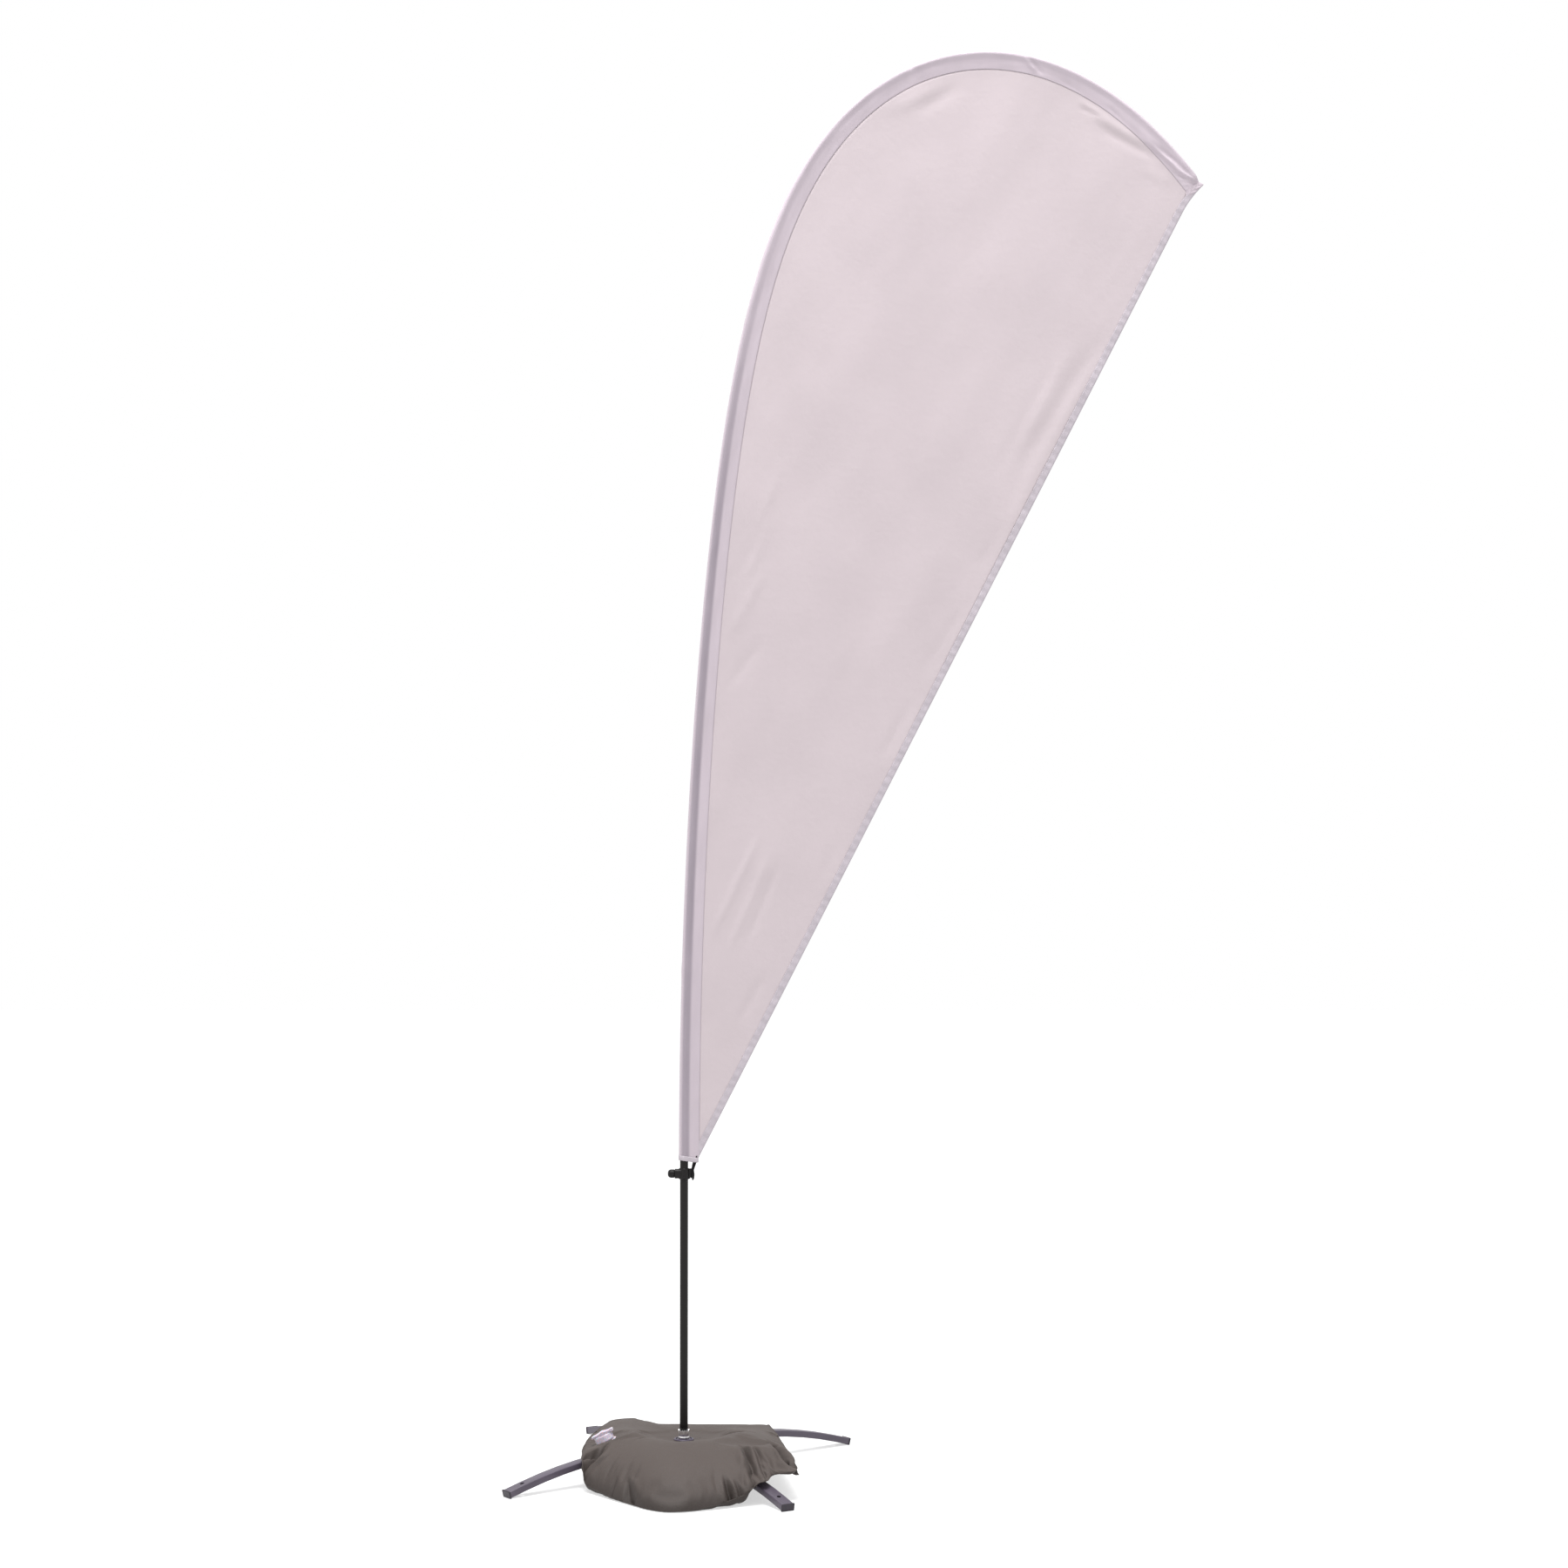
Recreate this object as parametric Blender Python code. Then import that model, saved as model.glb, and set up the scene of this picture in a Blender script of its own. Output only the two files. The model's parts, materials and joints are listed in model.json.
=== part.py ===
"""Teardrop flag: a curved sectional pole in a cloth sail, on a folding cross base with a water bag.

Metres, +Z up, ground at z = 0. The spindle axis stands at x = SPINDLE_X, so that the box round the
whole flag is centred on the origin. The sail lies in the XZ plane and curves towards +X.
"""
import math

import bmesh
import bpy
from mathutils import Matrix, Vector

GAP = 0.0003                     # between pieces that touch
SPINDLE_X = -0.4165

# Cross base
ARM_REACH = 0.476                # from the pivot to the end of the tube
ARM_WIDTH, ARM_HEIGHT, ARM_WALL, ARM_CORNER = 0.030, 0.015, 0.0015, 0.002
ARM_BEND = 1.1                   # radius of the arch
ARM_TOE = 0.043                  # straight stretch at each end
ARM_ARC_STEPS = 6
LOWER_ARM_ANGLE = math.radians(120.4)
UPPER_ARM_ANGLE = math.radians(36.7)
LOWER_ARM_UNDERSIDE = 0.036
SPACER_THICKNESS = 0.0012
UPPER_ARM_UNDERSIDE = LOWER_ARM_UNDERSIDE + ARM_HEIGHT + SPACER_THICKNESS + 2 * GAP
UPPER_ARM_TOP = UPPER_ARM_UNDERSIDE + ARM_HEIGHT
FOOT_CLEARANCE = 0.0010          # under the tube's end, which the plug's rim fills
PEG_HOLE_RADIUS, PEG_HOLE_INSET = 0.005, 0.036
PLUG_RIM, PLUG_HEAD, PLUG_SHANK = 0.0012, 0.004, 0.014
BUSH_RADIUS, BOLT_HOLE_RADIUS, BOLT_RADIUS = 0.0075, 0.0044, 0.0040

# Hub, bearing and rotor, stacked on the upper arm
HUB_RADIUS, HUB_HEIGHT = 0.0165, 0.0049
BEARING_BOTTOM = UPPER_ARM_TOP + HUB_HEIGHT + 0.0014
BEARING_HEIGHT, BEARING_RADIUS, BALL_RADIUS, BALL_CIRCLE, BALLS = 0.006, 0.0095, 0.0013, 0.00675, 7
CUP_BOTTOM = BEARING_BOTTOM - 0.0005
CUP_RADIUS, CUP_HEIGHT, CUP_TEETH, TOOTH_DEPTH = 0.0128, 0.020, 12, 0.0024
CUP_FLOOR = CUP_BOTTOM + 0.0140  # where the pole's end stands
ROD_RADIUS, ROD_TOP = 0.0075, 0.265

# Pole: straight, then slowly bent, then turned over at the top; lengths run along its centre line
POLE_END = 4.216
BEND_START, BEND_RATE = 0.7324, 0.0623
TOP_TURN, TOP_TURN_AT, TOP_TURN_SPREAD = 2.4766, 3.556, 0.2759
STATION_TURN, STATION_STEP, FINE_STEP = math.radians(4.2), 0.24, 0.002
SECTION_ENDS = (1.165, 2.24, 3.29)
PLUG_IN_DEPTH = 0.10
SECTION_RADII = (0.0095, 0.0077, 0.0059, 0.0041)
SECTION_WALL, POINT_RADIUS = 0.0015, 0.0024
RING_LENGTH, RING_THICKNESS = 0.028, 0.0008
POLE_SIDES, HIDDEN_SIDES = 20, 12

# Sail
FOOT_AT = 0.7205                 # height of the sail's foot on the pole
SLEEVE_FOOT_RADIUS, SLEEVE_TIP_RADIUS, SLEEVE_WALL = 0.0124, 0.0074, 0.0008
SEAM_OFFSET = 0.036              # from the pole's centre line to the sleeve's seam
SEAM_HALF_THICKNESS = 0.0008
PANEL_THICKNESS = 0.0010
HEM_WIDTH, HEM_THICKNESS = 0.016, 0.0018
LEECH_TOP = Vector((1.189, 0.0, 2.978))
LEECH_FOOT = Vector((0.0325, 0.0, 0.7235))

# Clamp
CLAMP_Z, CLAMP_HALF_HEIGHT, CLAMP_RADIUS = 0.6888, 0.0125, 0.0122
BOSS_REACH, BOSS_HALF = 0.0215, 0.0108
HOOK_THICKNESS = 0.006
STUD_RADIUS, KNOB_RADIUS, KNOB_LENGTH = 0.003, 0.0102, 0.0165
LOOP_THICKNESS = 0.0010

# Water bag
BAG_HOLE_RADIUS, BAG_WELD_RADIUS = 0.0187, 0.032
BAG_WELD_BOTTOM, BAG_WELD_TOP = UPPER_ARM_TOP + 0.0006, UPPER_ARM_TOP + 0.0022
BAG_FRONT_CROWN, BAG_BACK_CROWN = 0.036, 0.014   # the top's bulge over a straight line from weld to seam
BAG_ARCH = 0.045                 # how far the underside rises from the ground towards the hole
BAG_SIDES, BAG_RINGS = 64, 7
BAG_GROUND = 0.0012              # underside's height where it lies on the ground
ARM_CLEARANCE = 0.0015
SAG_START, SAG_WIDTH = 0.042, 0.050   # from an arm's centre line to where the bag begins to hang
GROMMET_OUTER, GROMMET_INNER, GROMMET_HEIGHT = 0.0238, 0.0183, 0.0030
CAP_AT, CAP_TILT = Vector((-0.1775, -0.070, 0.079)), math.radians(-24)
FLANGE_RADIUS, NECK_RADIUS, NECK_BORE, NECK_HEIGHT = 0.0262, 0.0185, 0.0160, 0.014
CAP_RADIUS, CAP_HEIGHT, CAP_ROOF = 0.0222, 0.0150, 0.0030
WING_LENGTH, WING_WIDTH, WING_THICKNESS = 0.053, 0.030, 0.0075


def clear_scene():
    for item in list(bpy.data.objects):
        bpy.data.objects.remove(item, do_unlink=True)


def material(name, colour, roughness, metallic=0.0):
    made = bpy.data.materials.get(name) or bpy.data.materials.new(name)
    made.use_nodes = True
    shader = made.node_tree.nodes["Principled BSDF"]
    shader.inputs["Base Color"].default_value = (*colour, 1.0)
    shader.inputs["Roughness"].default_value = roughness
    shader.inputs["Metallic"].default_value = metallic
    return made


def make_materials():
    return {
        "arm": material("purple_grey_paint", (0.19, 0.17, 0.22), 0.45, 0.3),
        "dark": material("dark_plastic", (0.03, 0.025, 0.03), 0.5),
        "steel": material("zinc_steel", (0.62, 0.62, 0.64), 0.35, 1.0),
        "chrome": material("chrome", (0.85, 0.84, 0.86), 0.12, 1.0),
        "pole": material("black_pole", (0.025, 0.022, 0.023), 0.4),
        "brass": material("brass", (0.70, 0.52, 0.24), 0.35, 1.0),
        "nylon": material("white_nylon", (0.75, 0.73, 0.70), 0.5),
        "panel": material("sail_cloth", (0.73, 0.65, 0.68), 0.8),
        "band": material("sleeve_cloth", (0.62, 0.55, 0.62), 0.8),
        "strap": material("black_strap", (0.015, 0.014, 0.015), 0.8),
        "bag": material("taupe_coated_fabric", (0.18, 0.15, 0.14), 0.6),
        "ring": material("violet_plastic", (0.11, 0.09, 0.15), 0.4),
        "cap": material("white_plastic", (0.72, 0.66, 0.76), 0.35),
    }


# ---- mesh helpers ----

def add_object(name, bm, look, parent, place=None, smooth=True):
    """Close the bmesh into an object, with its faces turned outwards."""
    bmesh.ops.recalc_face_normals(bm, faces=bm.faces)
    mesh = bpy.data.meshes.new(name)
    bm.to_mesh(mesh)
    bm.free()
    if smooth:
        mesh.shade_smooth()
        mesh.set_sharp_from_angle(angle=math.radians(35))
    made = bpy.data.objects.new(name, mesh)
    bpy.context.collection.objects.link(made)
    mesh.materials.append(look)
    made.parent = parent
    if place is not None:
        made.matrix_local = place
    return made


def add_empty(name, parent, place):
    made = bpy.data.objects.new(name, None)
    bpy.context.collection.objects.link(made)
    made.parent = parent
    made.matrix_local = place
    return made


def skin(bm, loops, ring=False):
    """Join successive closed loops with quads; cap both ends, or join the last loop to the first."""
    rows = [[bm.verts.new(point) for point in loop] for loop in loops]
    pairs = list(zip(rows, rows[1:]))
    if ring:
        pairs.append((rows[-1], rows[0]))
    for low, high in pairs:
        for i in range(len(low)):
            j = (i + 1) % len(low)
            bm.faces.new((low[i], low[j], high[j], high[i]))
    if not ring:
        bm.faces.new(list(reversed(rows[0])))
        bm.faces.new(rows[-1])


def value_at(rule, angle):
    return rule(angle) if callable(rule) else rule


def turned_loops(outline, sides):
    """Loops round Z for an outline of (radius, height), either of which may vary with the angle."""
    angles = [2 * math.pi * k / sides for k in range(sides)]
    return [[Vector((value_at(r, a) * math.cos(a), value_at(r, a) * math.sin(a), value_at(z, a)))
             for a in angles] for r, z in outline]


def turned(name, outline, look, parent, sides=20, ring=True, place=None):
    """A turned piece; ring means that the outline closes on itself round a bore."""
    bm = bmesh.new()
    skin(bm, turned_loops(outline, sides), ring)
    return add_object(name, bm, look, parent, place)


def tube_outline(outer, inner, bottom, top, bevel=0.0003):
    return [(inner, bottom), (outer - bevel, bottom), (outer, bottom + bevel),
            (outer, top - bevel), (outer - bevel, top), (inner, top)]


def hexagon(half_width):
    """Radius of a hexagon, across its flats 2 * half_width, at an angle."""
    def radius(angle):
        turn = math.radians(60)
        return half_width / math.cos((angle % turn) - turn / 2)
    return radius


def rounded_rectangle(width, height, corner, steps=2):
    centres = [(1, 1), (-1, 1), (-1, -1), (1, -1)]
    points = []
    for quarter, (sx, sy) in enumerate(centres):
        for k in range(steps + 1):
            angle = math.pi / 2 * (quarter + k / steps)
            points.append((sx * (width / 2 - corner) + corner * math.cos(angle),
                           sy * (height / 2 - corner) + corner * math.sin(angle)))
    return points


def prism(bm, outline, low, high, axis="Y"):
    """An extrusion of a 2-D outline between two places along an axis."""
    place = {"Y": lambda p, t: (p[0], t, p[1]), "Z": lambda p, t: (p[0], p[1], t),
             "X": lambda p, t: (t, p[0], p[1])}[axis]
    skin(bm, [[Vector(place(p, t)) for p in outline] for t in (low, high)])


def cutter(name, bm, parent, place=None):
    made = add_object(name, bm, None, parent, place, smooth=False)
    made.data.materials.clear()
    made.hide_render = True
    made.display_type = "WIRE"
    return made


def boolean(target, tool, operation):
    step = target.modifiers.new(tool.name, "BOOLEAN")
    step.operation = operation
    step.solver = "EXACT"
    step.object = tool


def vertical_cutter(name, radius, x, y, low, high, parent, sides=16):
    bm = bmesh.new()
    skin(bm, turned_loops([(radius, low), (radius, high)], sides))
    bmesh.ops.translate(bm, verts=bm.verts, vec=(x, y, 0))
    return cutter(name, bm, parent)


# ---- cross base ----

def arm_slope(drop):
    """Slope of the toe that lets an arm's end come down by drop."""
    return (math.sqrt(ARM_TOE ** 2 + 2 * ARM_BEND * drop) - ARM_TOE) / ARM_BEND


def arm_half_path(underside):
    """(distance out, underside height, slope) from the end of the flat middle to the tube's end."""
    slope = arm_slope(underside - FOOT_CLEARANCE)
    arc_end = ARM_REACH - ARM_TOE * math.cos(slope)
    flat = arc_end - ARM_BEND * math.sin(slope)
    path = []
    for k in range(ARM_ARC_STEPS + 1):
        angle = slope * k / ARM_ARC_STEPS
        path.append((flat + ARM_BEND * math.sin(angle),
                     underside - ARM_BEND * (1 - math.cos(angle)), angle))
    toe_end = path[-1][1] - ARM_TOE * math.sin(slope)
    path.append((ARM_REACH, toe_end, slope))
    return path


def arm_path(underside):
    half = arm_half_path(underside)
    return [(-d, z, -a) for d, z, a in reversed(half)] + half


def arm_section(out, underside, slope, outline):
    """The section's outline stood across the arm, square to its slope."""
    normal = Vector((math.sin(slope), 0, math.cos(slope)))
    centre = Vector((out, 0, underside)) + normal * ARM_HEIGHT / 2
    return [centre + Vector((0, u, 0)) + normal * v for u, v in outline]


def arm_top(distance):
    """Height of the upper arm's top face at a distance from the pivot."""
    path = arm_half_path(UPPER_ARM_UNDERSIDE)
    if distance <= path[0][0]:
        return UPPER_ARM_TOP
    for (d0, z0, _), (d1, z1, _) in zip(path, path[1:]):
        if distance <= d1:
            return ARM_HEIGHT + z0 + (z1 - z0) * (distance - d0) / (d1 - d0)
    return ARM_HEIGHT + path[-1][1]


def add_arm(name, underside, angle, looks, parent):
    turn = Matrix.Rotation(angle, 4, "Z")
    path = arm_path(underside)
    outer = rounded_rectangle(ARM_WIDTH, ARM_HEIGHT, ARM_CORNER)
    inner = rounded_rectangle(ARM_WIDTH - 2 * ARM_WALL, ARM_HEIGHT - 2 * ARM_WALL,
                              ARM_CORNER - ARM_WALL)
    bm = bmesh.new()
    skin(bm, [arm_section(*step, outer) for step in path]
         + [arm_section(*step, inner) for step in reversed(path)], ring=True)
    arm = add_object(name, bm, looks["arm"], parent, turn)
    peg_out = ARM_REACH - PEG_HOLE_INSET
    holes = [("bolt", BOLT_HOLE_RADIUS, 0.0), ("peg_back", PEG_HOLE_RADIUS, peg_out),
             ("peg_front", PEG_HOLE_RADIUS, -peg_out)]
    for label, radius, out in holes:
        low, high = -0.01, underside + ARM_HEIGHT + 0.01
        boolean(arm, vertical_cutter(name + "_" + label, radius, out, 0, low, high, arm), "DIFFERENCE")
    for label, side in (("back", 1), ("front", -1)):
        add_plug(name + "_" + label + "_plug", path[-1], side, looks["dark"], parent, turn)
    bush_low = underside + ARM_WALL + GAP
    bush_high = underside + ARM_HEIGHT - ARM_WALL - GAP
    turned(name + "_bush", tube_outline(BUSH_RADIUS, BOLT_HOLE_RADIUS, bush_low, bush_high),
           looks["steel"], parent)
    return arm


def add_plug(name, tip, side, look, parent, turn):
    """An end plug: a shank in the tube and a rim round its mouth, cut flat where it stands."""
    out, underside, slope = tip
    along = Vector((math.cos(slope), 0, -math.sin(slope)))
    fit = 2 * (ARM_WALL + GAP)
    shank = rounded_rectangle(ARM_WIDTH - fit, ARM_HEIGHT - fit, 0.0005)
    head = rounded_rectangle(ARM_WIDTH + 2 * PLUG_RIM, ARM_HEIGHT + 2 * PLUG_RIM, ARM_CORNER)
    face = rounded_rectangle(ARM_WIDTH, ARM_HEIGHT, ARM_CORNER)
    steps = [(-PLUG_SHANK, shank), (GAP, shank), (GAP, head),
             (PLUG_HEAD - PLUG_RIM, head), (PLUG_HEAD, face)]
    bm = bmesh.new()
    skin(bm, [[point + along * distance for point in arm_section(out, underside, slope, outline)]
              for distance, outline in steps])
    cut = bmesh.ops.bisect_plane(bm, geom=bm.verts[:] + bm.edges[:] + bm.faces[:],
                                 plane_co=(0, 0, 0), plane_no=(0, 0, 1), clear_inner=True)
    edges = [e for e in cut["geom_cut"] if isinstance(e, bmesh.types.BMEdge)]
    bmesh.ops.contextual_create(bm, geom=edges)
    flip = Matrix.Rotation(math.pi if side < 0 else 0.0, 4, "Z")
    add_object(name, bm, look, parent, turn @ flip)


def add_base(looks, frame):
    add_arm("lower_arm", LOWER_ARM_UNDERSIDE, LOWER_ARM_ANGLE, looks, frame)
    spacer_low = LOWER_ARM_UNDERSIDE + ARM_HEIGHT + GAP
    turned("arm_spacer", tube_outline(0.0140, BOLT_HOLE_RADIUS, spacer_low,
                                      spacer_low + SPACER_THICKNESS), looks["nylon"], frame)
    folding = add_empty("base_fold_axis", frame, Matrix.Identity(4))
    add_arm("upper_arm", UPPER_ARM_UNDERSIDE, UPPER_ARM_ANGLE, looks, folding)


def add_pivot(looks, frame):
    """Bolt from inside the cup down to the lock nut, and the hub that it clamps."""
    head_low = BEARING_BOTTOM + BEARING_HEIGHT + GAP
    washer_high = LOWER_ARM_UNDERSIDE - GAP
    washer_low = washer_high - 0.0015
    nut_high = washer_low - GAP
    nut_low = nut_high - 0.0065
    bolt_end = nut_low - 0.002
    turned("pivot_bolt", [(BOLT_RADIUS - 0.0007, bolt_end), (BOLT_RADIUS, bolt_end + 0.0007),
                          (BOLT_RADIUS, head_low), (0.0062, head_low), (0.0062, head_low + 0.0034),
                          (0.0056, head_low + 0.0040)], looks["steel"], frame, ring=False)
    turned("pivot_washer", tube_outline(0.0085, BOLT_HOLE_RADIUS, washer_low, washer_high),
           looks["steel"], frame)
    flats = hexagon(0.0065)
    turned("lock_nut", [(BOLT_RADIUS + GAP, nut_low), (0.0062, nut_low), (flats, nut_low + 0.0010),
                        (flats, nut_high), (BOLT_RADIUS + GAP, nut_high)], looks["steel"], frame)
    hub_low = UPPER_ARM_TOP + GAP
    hub_high = UPPER_ARM_TOP + HUB_HEIGHT
    boss_high = BEARING_BOTTOM - GAP
    turned("hub", [(BOLT_HOLE_RADIUS, hub_low), (HUB_RADIUS, hub_low), (HUB_RADIUS, hub_high - 0.0012),
                   (HUB_RADIUS - 0.0012, hub_high), (0.0055, hub_high), (0.0050, boss_high),
                   (BOLT_HOLE_RADIUS, boss_high)], looks["ring"], frame, sides=32)


def add_bearing(looks, frame, rotor):
    low, high = BEARING_BOTTOM, BEARING_BOTTOM + BEARING_HEIGHT
    play = BALL_RADIUS + GAP
    turned("bearing_inner_ring", tube_outline(BALL_CIRCLE - play, BOLT_HOLE_RADIUS, low, high),
           looks["steel"], frame)
    turned("bearing_outer_ring", tube_outline(BEARING_RADIUS, BALL_CIRCLE + play, low, high),
           looks["steel"], rotor)
    orbit = add_empty("ball_orbit_axis", frame, Matrix.Identity(4))
    for k in range(BALLS):
        place = Matrix.Rotation(2 * math.pi * k / BALLS, 4, "Z") @ Matrix.Translation(
            (BALL_CIRCLE, 0, (low + high) / 2))
        bm = bmesh.new()
        bmesh.ops.create_uvsphere(bm, u_segments=8, v_segments=5, radius=BALL_RADIUS)
        add_object(f"bearing_ball_{k + 1}", bm, looks["steel"], orbit, place)


def tooth_height(angle):
    """Height of the cup's serrated rim below its points: a triangle wave."""
    phase = (angle * CUP_TEETH / (2 * math.pi)) % 1.0
    return -TOOTH_DEPTH * abs(2 * phase - 1)


def add_rotor(looks, rotor):
    low, rim = CUP_BOTTOM, CUP_BOTTOM + CUP_HEIGHT
    seat_high = BEARING_BOTTOM + BEARING_HEIGHT + GAP
    pole_bore = SECTION_RADII[0] + 0.0006
    stub_bore = 0.0072

    def rim_height(angle):
        return rim + tooth_height(angle)

    turned("rotor_cup", [(BEARING_RADIUS + GAP, low), (CUP_RADIUS - 0.0006, low),
                         (CUP_RADIUS, low + 0.0006), (CUP_RADIUS, rim_height), (pole_bore, rim_height),
                         (pole_bore, CUP_FLOOR), (stub_bore, CUP_FLOOR), (stub_bore, seat_high),
                         (BEARING_RADIUS + GAP, seat_high)], looks["chrome"], rotor, sides=48)
    stub = stub_bore - GAP
    bolt_top = BEARING_BOTTOM + BEARING_HEIGHT + GAP + 0.0040
    turned("spindle_rod", [(stub, bolt_top + 2 * GAP), (stub, CUP_FLOOR + GAP),
                           (ROD_RADIUS, CUP_FLOOR + GAP), (ROD_RADIUS, ROD_TOP - 0.003),
                           (ROD_RADIUS - 0.003, ROD_TOP)], looks["steel"], rotor, ring=False)


# ---- pole ----

def heading(length):
    """The pole's angle from upright at a length along it."""
    slow = BEND_RATE * max(0.0, length - BEND_START)
    return slow + TOP_TURN / (1 + math.exp(-(length - TOP_TURN_AT) / TOP_TURN_SPREAD))


def pole_stations():
    """(length, point, heading) closely enough spaced that no step turns far."""
    stations = [(0.0, Vector((0, 0, 0)), heading(0.0))]
    point, length, last = Vector((0, 0, 0)), 0.0, 0.0
    while length < POLE_END + 0.05:
        middle = heading(length + FINE_STEP / 2)
        point = point + FINE_STEP * Vector((math.sin(middle), 0, math.cos(middle)))
        length += FINE_STEP
        turned_by = heading(length) - stations[-1][2]
        if turned_by >= STATION_TURN or length - last >= STATION_STEP:
            stations.append((length, point.copy(), heading(length)))
            last = length
    stations.append((length, point.copy(), heading(length)))
    return stations


STATIONS = pole_stations()


def on_pole(length):
    """(point, tangent) on the pole's centre line, which runs straight between its stations."""
    for (s0, p0, a0), (s1, p1, a1) in zip(STATIONS, STATIONS[1:]):
        if length <= s1:
            part = (length - s0) / (s1 - s0)
            angle = a0 + (a1 - a0) * part
            return p0.lerp(p1, part), Vector((math.sin(angle), 0, math.cos(angle)))
    raise ValueError("past the end of the pole")


def stretch(start, end):
    """Lengths of the stations from start to end, with both ends."""
    inner = [s for s, _, _ in STATIONS if start + 0.004 < s < end - 0.004]
    return [start] + inner + [end]


def pole_ring(length, radius, sides):
    point, tangent = on_pole(length)
    outward = Vector((-tangent.z, 0, tangent.x))
    angles = [2 * math.pi * k / sides for k in range(sides)]
    return [point + radius * (math.cos(a) * outward + math.sin(a) * Vector((0, 1, 0))) for a in angles]


def pole_tube(name, start, end, outer, inner, look, parent, sides=HIDDEN_SIDES):
    bm = bmesh.new()
    lengths = stretch(start, end)
    skin(bm, [pole_ring(s, outer, sides) for s in lengths]
         + [pole_ring(s, inner, sides) for s in reversed(lengths)], ring=True)
    return add_object(name, bm, look, parent)


def point_radius(length):
    """Radius of the top section, which tapers beyond its joint."""
    part = max(0.0, length - SECTION_ENDS[-1]) / (POLE_END - SECTION_ENDS[-1])
    return SECTION_RADII[-1] + (POINT_RADIUS - SECTION_RADII[-1]) * part


def add_pole(looks, mast):
    names = ("lower_pole", "lower_middle_pole", "upper_middle_pole")
    rings = ("lower_joint_ring", "middle_joint_ring", "upper_joint_ring")
    starts = (CUP_FLOOR + GAP,) + tuple(end - PLUG_IN_DEPTH for end in SECTION_ENDS)
    for k, (name, end, radius) in enumerate(zip(names, SECTION_ENDS, SECTION_RADII)):
        sides = HIDDEN_SIDES if k else POLE_SIDES
        pole_tube(name, starts[k], end, radius, radius - SECTION_WALL, looks["pole"], mast, sides)
        pole_tube(rings[k], end - RING_LENGTH, end, radius + GAP + RING_THICKNESS, radius + GAP,
                  looks["steel"], mast, sides)
    bm = bmesh.new()
    skin(bm, [pole_ring(s, point_radius(s), HIDDEN_SIDES) for s in stretch(starts[-1], POLE_END)])
    add_object("tip_pole", bm, looks["pole"], mast)
    point, tangent = on_pole(POLE_END)
    place = Matrix.Translation(point) @ tangent.to_track_quat("Z", "X").to_matrix().to_4x4()
    turned("tip_cap", [(0.0030, GAP), (0.0040, GAP + 0.001), (0.0040, 0.0045), (0.0030, 0.0070),
                       (0.0012, 0.0080)], looks["dark"], mast, sides=12, ring=False, place=place)


# ---- sail ----

def sleeve_radius(length):
    part = (length - FOOT_AT) / (POLE_END - FOOT_AT)
    return SLEEVE_FOOT_RADIUS + (SLEEVE_TIP_RADIUS - SLEEVE_FOOT_RADIUS) * part


def sleeve_loop(length, radius, tail, tail_half):
    """Round the pole on its outer side, narrowing to a flat tail towards the sail's panel."""
    point, tangent = on_pole(length)
    outward = Vector((-tangent.z, 0, tangent.x))
    across = Vector((0, 1, 0))
    arc = [math.radians(-104 + 26 * k) for k in range(9)]
    flat = [(radius * math.cos(a), radius * math.sin(a)) for a in arc]
    flat += [(-tail, tail_half), (-tail, -tail_half)]
    return [point + u * outward + v * across for u, v in flat]


def sleeve_tail(length):
    """Distance from the pole to the sleeve's seam, cut back at the foot to the leech's line."""
    slant = (LEECH_TOP.x - LEECH_FOOT.x) / (LEECH_TOP.z - LEECH_FOOT.z)
    return min(SEAM_OFFSET, LEECH_FOOT.x + (length - LEECH_FOOT.z) * slant)


def add_sleeve(looks, mast, end):
    corner = FOOT_AT + 0.012
    lengths = [FOOT_AT] + stretch(corner, end)
    inner_lengths = [FOOT_AT] + stretch(corner, end - 0.009)
    bm = bmesh.new()
    outer = [sleeve_loop(s, sleeve_radius(s), sleeve_tail(s), SEAM_HALF_THICKNESS) for s in lengths]
    inner = [sleeve_loop(s, sleeve_radius(s) - SLEEVE_WALL, sleeve_tail(s) - 0.009, GAP / 2)
             for s in reversed(inner_lengths)]
    skin(bm, list(reversed(inner + outer)))
    return add_object("pole_sleeve", bm, looks["band"], mast)


def flat_piece(name, outline, thickness, look, parent):
    bm = bmesh.new()
    prism(bm, [(p.x, p.z) for p in outline], -thickness / 2, thickness / 2)
    return add_object(name, bm, look, parent, smooth=False)


def seam_point(length, extra=0.0):
    point, tangent = on_pole(length)
    return point - (SEAM_OFFSET + extra) * Vector((-tangent.z, 0, tangent.x))


def part_inside(path, origin, inward):
    """The stretch of a path on the inner side of a line, with the places where it crosses it."""
    kept = []
    for p, q in zip(path, path[1:]):
        dp, dq = (p - origin).dot(inward), (q - origin).dot(inward)
        if dp > 0:
            kept.append(p)
        if (dp > 0) != (dq > 0):
            kept.append(p.lerp(q, dp / (dp - dq)))
    return kept


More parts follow.
